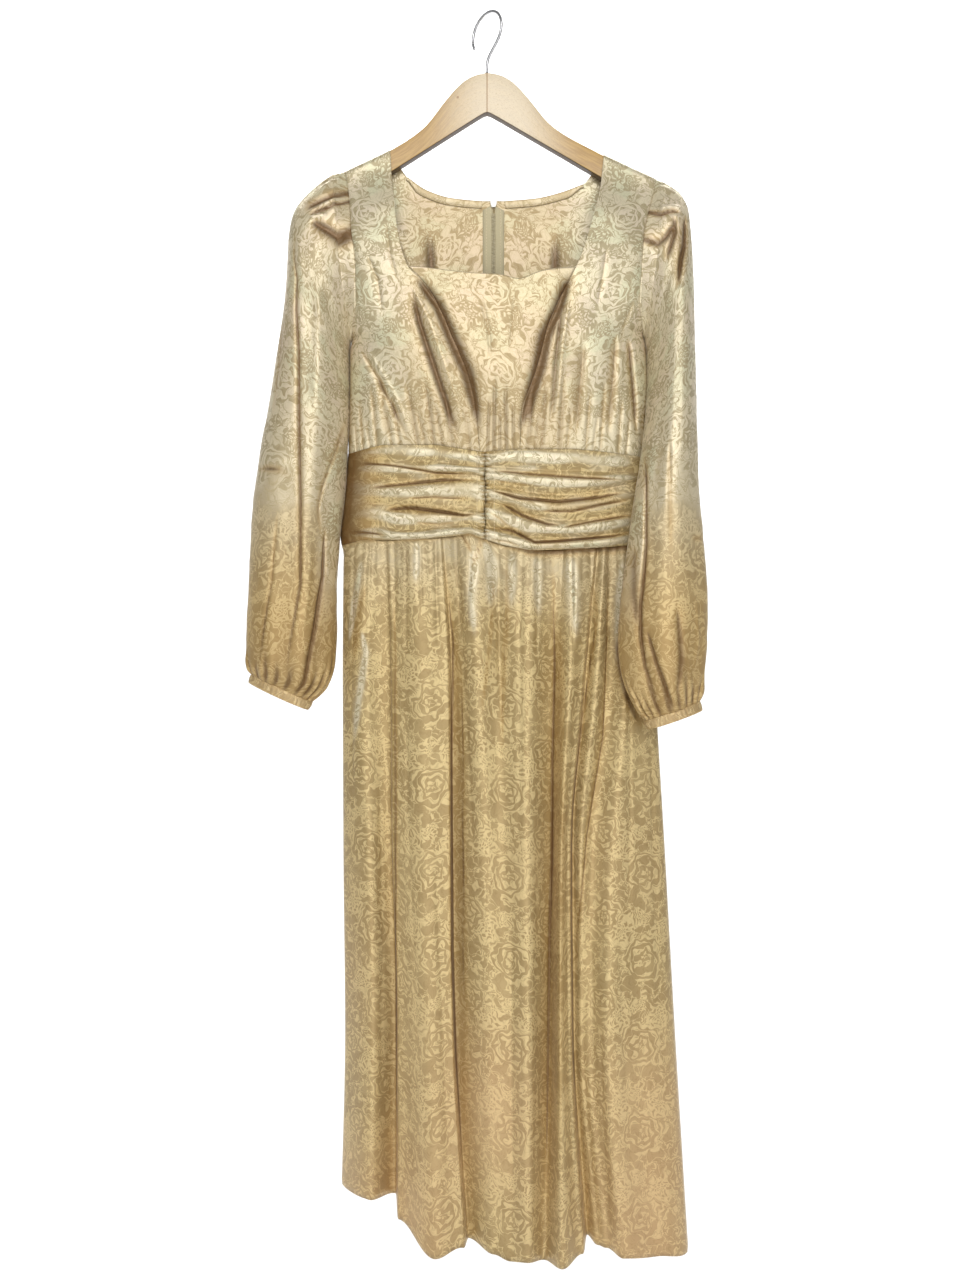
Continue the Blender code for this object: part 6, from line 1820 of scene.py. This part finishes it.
STITCHED = (
    # kind of piece, column of its grid, whether the thread faces straight to the front
    ("midriff_front", 4, False),
    ("neck_binding", 5, True),
    ("zip_tape", 2, True),
)
for side in SIDES:
    for kind, column, to_front in STITCHED:
        grid = SATIN_PIECES[f"{kind}_{side}"][1]
        line = grid[:, column]
        if to_front:
            outward = np.zeros_like(line) + (0.0, -1.0, 0.0)
        else:
            outward = grid_directions(grid)[:, column] * (-1 if side == "right" else 1)
        stitches(f"thread_{kind}_{side}", line, outward)

# %% [markdown]
# ## The hanger
# The hanger is one flat piece of light wood with a golden varnish, rounded along its edges, and a polished
# wire hook that is screwed into its middle. The wood leans a little, as the dress pulls harder on one side.

# %% Hanger wood
HANGER_LEAN = 1.5
HANGER_HALF_THICK = 5.5
HANGER_REACH, HANGER_END = 190.0, 13.5
HANGER_TOP = (
    # distance from the middle, z
    (0, -72), (13, -74.5), (26, -80.5), (36, -89), (46, -100), (55, -111), (64, -123), (74, -134.5),
    (85, -143.5), (98.5, -152.5), (116.5, -162.5), (134, -172), (152, -182), (174, -193.5), (190, -203),
    (199, -210), (203.5, -218),
)
HANGER_APEX, HANGER_SLOPE, HANGER_END_BOTTOM = -120.3, 0.61, -226.0
EDGE_ROUND = {"top": 2.8, "bottom": 1.4}
half_top = np.array(HANGER_TOP, float)
top_curve = curve(half_top[:, 0], half_top[:, 1])
end_turn = np.linspace(0, np.pi / 2, 14)[1:]
ends_round = np.concatenate([np.linspace(0, HANGER_REACH, 64), HANGER_REACH + HANGER_END * np.sin(end_turn)])
stations = np.concatenate([-ends_round[:0:-1], ends_round])
top = top_curve(np.abs(stations))
apex = HANGER_APEX - HANGER_SLOPE * (np.sqrt(stations ** 2 + 9) - 3)
bottom = np.maximum(apex, HANGER_END_BOTTOM)
rim = []
for sign_y, level, start in ((1, "top", 0), (-1, "top", 90), (-1, "bottom", 180), (1, "bottom", 270)):
    corner = np.minimum(EDGE_ROUND[level], (top - bottom) / 2.5)
    for step in range(6):
        angle = math.radians(start + step * 18)
        centre_z = top - corner if level == "top" else bottom + corner
        rim.append(np.stack([stations, sign_y * (HANGER_HALF_THICK - corner) + corner * math.cos(angle),
                             centre_z + corner * math.sin(angle)], axis=-1))
wood_grid = np.stack(rim, axis=1)
lean = math.radians(HANGER_LEAN)
wood_points = wood_grid.copy()
wood_points[..., 0] = wood_grid[..., 0] * math.cos(lean)
wood_points[..., 2] = wood_grid[..., 2] + wood_grid[..., 0] * math.sin(lean)
rows, columns = wood_grid.shape[:2]
rim_pairs = [(c, (c + 1) % columns) for c in range(columns)]
faces = []
for low in range(0, (rows - 1) * columns, columns):
    faces += [(low + c, low + columns + c, low + columns + n, low + n) for c, n in rim_pairs]
last, middle = (rows - 1) * columns, rows * columns
faces += [(middle, c, n) for c, n in rim_pairs]
faces += [(middle + 1, last + n, last + c) for c, n in rim_pairs]


def with_ends(grid):
    """The grid's points, and then the middle of its first and of its last row."""
    return np.concatenate([grid.reshape(-1, 3), grid[0].mean(axis=0)[None], grid[-1].mean(axis=0)[None]])


wood_piece = make_mesh("hanger_wood_fine", with_ends(wood_points), faces)
grain = with_ends(wood_grid)
grain[:, 2] -= np.interp(np.abs(grain[:, 0]), half_top[:, 0], half_top[:, 1])
grain_layer = wood_piece.data.attributes.new("grain_place", "FLOAT_VECTOR", "POINT")
grain_layer.data.foreach_set("vector", (grain * MM).ravel())


def wood_finish():
    """Long grain along the bow, pores, a joint in the middle, a clear varnish and painted underside shade."""
    material, tree, shader = new_finish("golden wood", Coat_Weight=0.35, Coat_Roughness=0.18)
    place = point_values(tree, "grain_place")
    rings = noise(place.moved("MULTIPLY", (60.0, 240.0, 420.0)), 1.0, 5.0)
    pores = noise(place.moved("MULTIPLY", (420.0, 2200.0, 1500.0)), 1.0, 2.0)
    middle = place.part(0).size()
    joint = middle.step(0.0011, 0.0004)
    # The wood is paler in a broad patch near the middle.
    paler_middle = (place.part(0) - 0.018).size().step(0.10, 0.015)
    # Painted shade on the downward-facing underside of the wood.
    under = add_node(tree, "ShaderNodeTexCoord", {}, {}, "Normal").part(2).step(-0.4, -0.75)
    colour = blend(rings.step(0.3, 0.7) * 0.7, (0.34, 0.185, 0.035), (0.50, 0.31, 0.08))
    colour = blend(paler_middle * 0.75, colour, (0.72, 0.63, 0.47))
    colour = blend(pores.step(0.52, 0.7) * 0.4, colour, (0.30, 0.16, 0.05))
    colour = blend(joint * 0.8, colour, (0.30, 0.15, 0.05))
    colour = blend(under * 0.93, colour, (0.045, 0.018, 0.004))
    feed(shader, Base_Color=colour, Roughness=0.34 + rings * 0.2,
         Normal=raised(rings * 0.6 - pores.step(0.6, 0.7) * 0.5 - joint, 0.15, 0.6))
    return material


slot_finish["wood"] = wood_finish()
finish_piece(wood_piece, "dress", "wood", ["hanger_wood"])
print("hanger wood:", wood_grid.shape[:2])

# %% [markdown]
# The hook is bent from round wire: a short stem, a bend and the bow. A round bar is swept along the path,
# with its tip rounded off. A small collar and a dowel sit on the wood.

# %% Hook
HOOK_WIRE = 3.6
HOOK_RADIUS = 24.0
HOOK_TURN = 45.0
HOOK_TIP = 205.0
DOWEL_X, DOWEL_Z = -35.0, -102.5


def swept_bar(name, path, radii, sides):
    """A round bar along a path with a radius at each point, closed at both ends."""
    path, radii = np.asarray(path, float), np.asarray(radii, float)
    along = np.gradient(path, axis=0)
    along /= np.linalg.norm(along, axis=1, keepdims=True)
    across = np.cross(along[0], (0.0, 1.0, 0.0))
    if np.linalg.norm(across) < 0.1:
        across = np.cross(along[0], (1.0, 0.0, 0.0))
    points, turns = [], np.linspace(0, 2 * np.pi, sides, endpoint=False)
    for point, way, radius in zip(path, along, radii):
        across = across - way * np.dot(across, way)
        across /= np.linalg.norm(across)
        other = np.cross(way, across)
        points.append(point + radius * (np.outer(np.cos(turns), across) + np.outer(np.sin(turns), other)))
    faces = []
    for low in range(0, (len(path) - 1) * sides, sides):
        for k in range(sides):
            n = (k + 1) % sides
            faces.append((low + k, low + n, low + sides + n, low + sides + k))
    last = (len(path) - 1) * sides
    faces += [tuple(range(sides))[::-1], tuple(range(last, last + sides))]
    return make_mesh(name, np.concatenate(points), faces)


def steel_finish():
    """Bright wire with fine scuffs along it."""
    material, tree, shader = new_finish("polished wire", Metallic=1.0)
    scuffs = noise(object_place(tree).moved("MULTIPLY", (60, 60, 900)), 1.0, 4.0)
    feed(shader, Base_Color=blend(scuffs.step(0.55, 0.8), (0.46, 0.46, 0.47), (0.30, 0.29, 0.27)),
         Roughness=0.16 + scuffs * 0.2, Normal=raised(scuffs, 0.02, 0.3))
    return material


slot_finish["steel"] = steel_finish()
flat = [(0.0, HANGER_TOP[0][1] - 2.0), (0.0, -68.0), (0.0, -64.0), (0.4, -58.5), (3.2, -52.5), (8.4, -47.2)]
index = np.linspace(0, len(flat) - 1, 26)
bend = edge_line(np.array(flat, float), index)
angles = np.radians(np.linspace(-54, HOOK_TIP, 70))
centre_z = HOOK_WIRE / 2 - HOOK_RADIUS
bow = np.stack([HOOK_RADIUS * np.cos(angles), centre_z + HOOK_RADIUS * np.sin(angles)], axis=-1)
flat_path = np.concatenate([bend, bow[1:]])
for _ in range(3):
    flat_path[1:-1] = (flat_path[:-2] + 2 * flat_path[1:-1] + flat_path[2:]) / 4
turn = math.radians(HOOK_TURN)
out, up = flat_path.T
hook_path = np.stack([out * math.cos(turn), -out * math.sin(turn), up], axis=-1)
tip_way = hook_path[-1] - hook_path[-2]
tip_way /= np.linalg.norm(tip_way)
tip_turns = [math.radians(degrees) for degrees in (20, 40, 60, 80)]
tip = [hook_path[-1] + tip_way * HOOK_WIRE / 2 * math.sin(t) for t in tip_turns]
radii = [HOOK_WIRE / 2] * len(hook_path) + [HOOK_WIRE / 2 * math.cos(t) for t in tip_turns]
hook = swept_bar("hanger_hook_fine", np.concatenate([hook_path, tip]), radii, 24)
finish_piece(hook, "dress", "steel", ["hanger_hook"])
collar_path = [(0, 0, z) for z in (-74.0, -72.4, -71.4, -70.8, -70.5)]
collar = swept_bar("hook_collar", collar_path, (4.2, 4.2, 3.9, 3.2, 2.0), 28)
finish_piece(collar, "dress", "steel")
dowel_path = [(DOWEL_X, -HANGER_HALF_THICK + d, DOWEL_Z) for d in (1.0, 0.05, -0.12, -0.2)]
dowel = swept_bar("hanger_dowel", dowel_path, (1.5, 1.5, 1.35, 0.9), 20)
finish_piece(dowel, "dress", "wood")
print("hook points:", len(hook_path))

# %% [markdown]
# ## Flat sizes
# Each piece of cloth prints the size of its cut as it shows, measured along its own grid, and a table lists
# what each kind hangs from. Rings count all the way round.

# %% Sheets
def both(name):
    """The left and the right piece of a kind."""
    return [f"satin_{name}_{side}" for side in SIDES]


HANGS_FROM = {
    # kind of piece: how it is held and what it hangs from
    "bodice_side_front": ("hung", ["hanger_wood_fine"]),
    "bodice_back": ("hung", ["hanger_wood_fine"]),
    "bodice_centre_front": ("hung", both("bodice_side_front")),
    "midriff_front": ("gathered", ["satin_bodice_centre_front"]),
    "midriff_back": ("gathered", both("bodice_back")),
    "skirt_front": ("gathered", both("midriff_front")),
    "skirt_back": ("gathered", both("midriff_back")),
    "sleeve": ("gathered", both("bodice_side_front")),
    "cuff": ("gathered", both("sleeve")),
    "neck_binding": ("hung", both("bodice_back")),
    "zip_tape": ("hung", both("bodice_back")),
}
for node, (piece, grid, closed) in SATIN_PIECES.items():
    kind = next(name for name in HANGS_FROM if node.startswith(name))
    cut_sheet(piece, grid, *HANGS_FROM[kind], closed)

# %% [markdown]
# ## Light, floor and camera
# The dress hangs in a pale studio. One large soft light stands in front and above, just left of the middle,
# a weaker one fills from the right, a long low one keeps the hem from going grey, and one lights the wall
# behind. The camera stands level, straight before the waist.

# %% Studio
FLOOR_Z, FLOOR_FRONT, FLOOR_HALF = -1720.0, -6000.0, 7000.0
BEND_Y, BEND_RADIUS, WALL_TOP = 1400.0, 1200.0, 3200.0
SOFT_LIGHTS = (
    # name, place, what it points at, width and height, watts
    ("key", (-0.2, -2.9, 1.0), (0.0, 0.0, -0.7), (1.8, 1.8), 50),
    ("front", (0.6, -3.0, -0.6), (0.0, 0.0, -0.8), (1.6, 2.4), 26),
    ("low", (-0.2, -2.4, -1.5), (0.0, 0.0, -1.0), (2.0, 0.5), 7),
    ("wall", (0.0, 1.0, 1.9), (0.0, 2.6, -0.5), (4.0, 0.8), 110),
)
SKY_STRENGTH = 0.34
CAMERA_PLACE = (-0.0084, -1.195, -0.751)
CAMERA_LENS = 28.0


def soft_light(name, place, aim, size, power):
    """A rectangle of light at a place, turned toward what it points at."""
    light = bpy.data.lights.new(name, "AREA")
    light.shape = "RECTANGLE"
    light.size, light.size_y = size
    light.energy = power
    lamp = bpy.data.objects.new(name, light)
    lamp.location = place
    lamp.rotation_euler = (Vector(aim) - Vector(place)).to_track_quat("-Z", "Y").to_euler()
    bpy.context.scene.collection.objects.link(lamp)


def pale_stage():
    """A floor that curves up into a wall behind."""
    profile = [(FLOOR_FRONT, FLOOR_Z), (BEND_Y, FLOOR_Z)]
    for t in np.linspace(0, math.pi / 2, 24)[1:]:
        profile.append((BEND_Y + BEND_RADIUS * math.sin(t), FLOOR_Z + BEND_RADIUS * (1 - math.cos(t))))
    profile.append((BEND_Y + BEND_RADIUS, WALL_TOP))
    points = [(x, y, z) for y, z in profile for x in (-FLOOR_HALF, FLOOR_HALF)]
    faces = [(2 * k, 2 * k + 1, 2 * k + 3, 2 * k + 2) for k in range(len(profile) - 1)]
    floor = make_mesh("pale_floor", points, faces)
    material, _, shader = new_finish("pale floor", Roughness=0.9, Specular_IOR_Level=0.1)
    shader.inputs["Base Color"].default_value = (0.93, 0.93, 0.93, 1)
    floor.data.materials.append(material)
    return floor


pale_stage()
for light in SOFT_LIGHTS:
    soft_light(*light)
world = bpy.data.worlds.new("studio")
bpy.context.scene.world = world
world.use_nodes = True
sky = world.node_tree.nodes["Background"].inputs
sky["Color"].default_value = (1.0, 1.0, 1.0, 1.0)
sky["Strength"].default_value = SKY_STRENGTH
scene = bpy.context.scene
scene.view_settings.view_transform = "Standard"
scene.view_settings.look = "None"
camera = bpy.data.cameras.new("front")
camera.lens = CAMERA_LENS
camera.sensor_width = 36.0
camera.clip_start, camera.clip_end = 0.05, 30.0
eye = bpy.data.objects.new("front", camera)
eye.location = CAMERA_PLACE
eye.rotation_euler = (math.radians(90), 0.0, 0.0)
scene.collection.objects.link(eye)
scene.camera = eye
shown = [piece for piece in bpy.data.objects if piece.type == "MESH" and not piece.hide_render]
print("triangles shown:", sum(count_triangles(piece) for piece in shown))
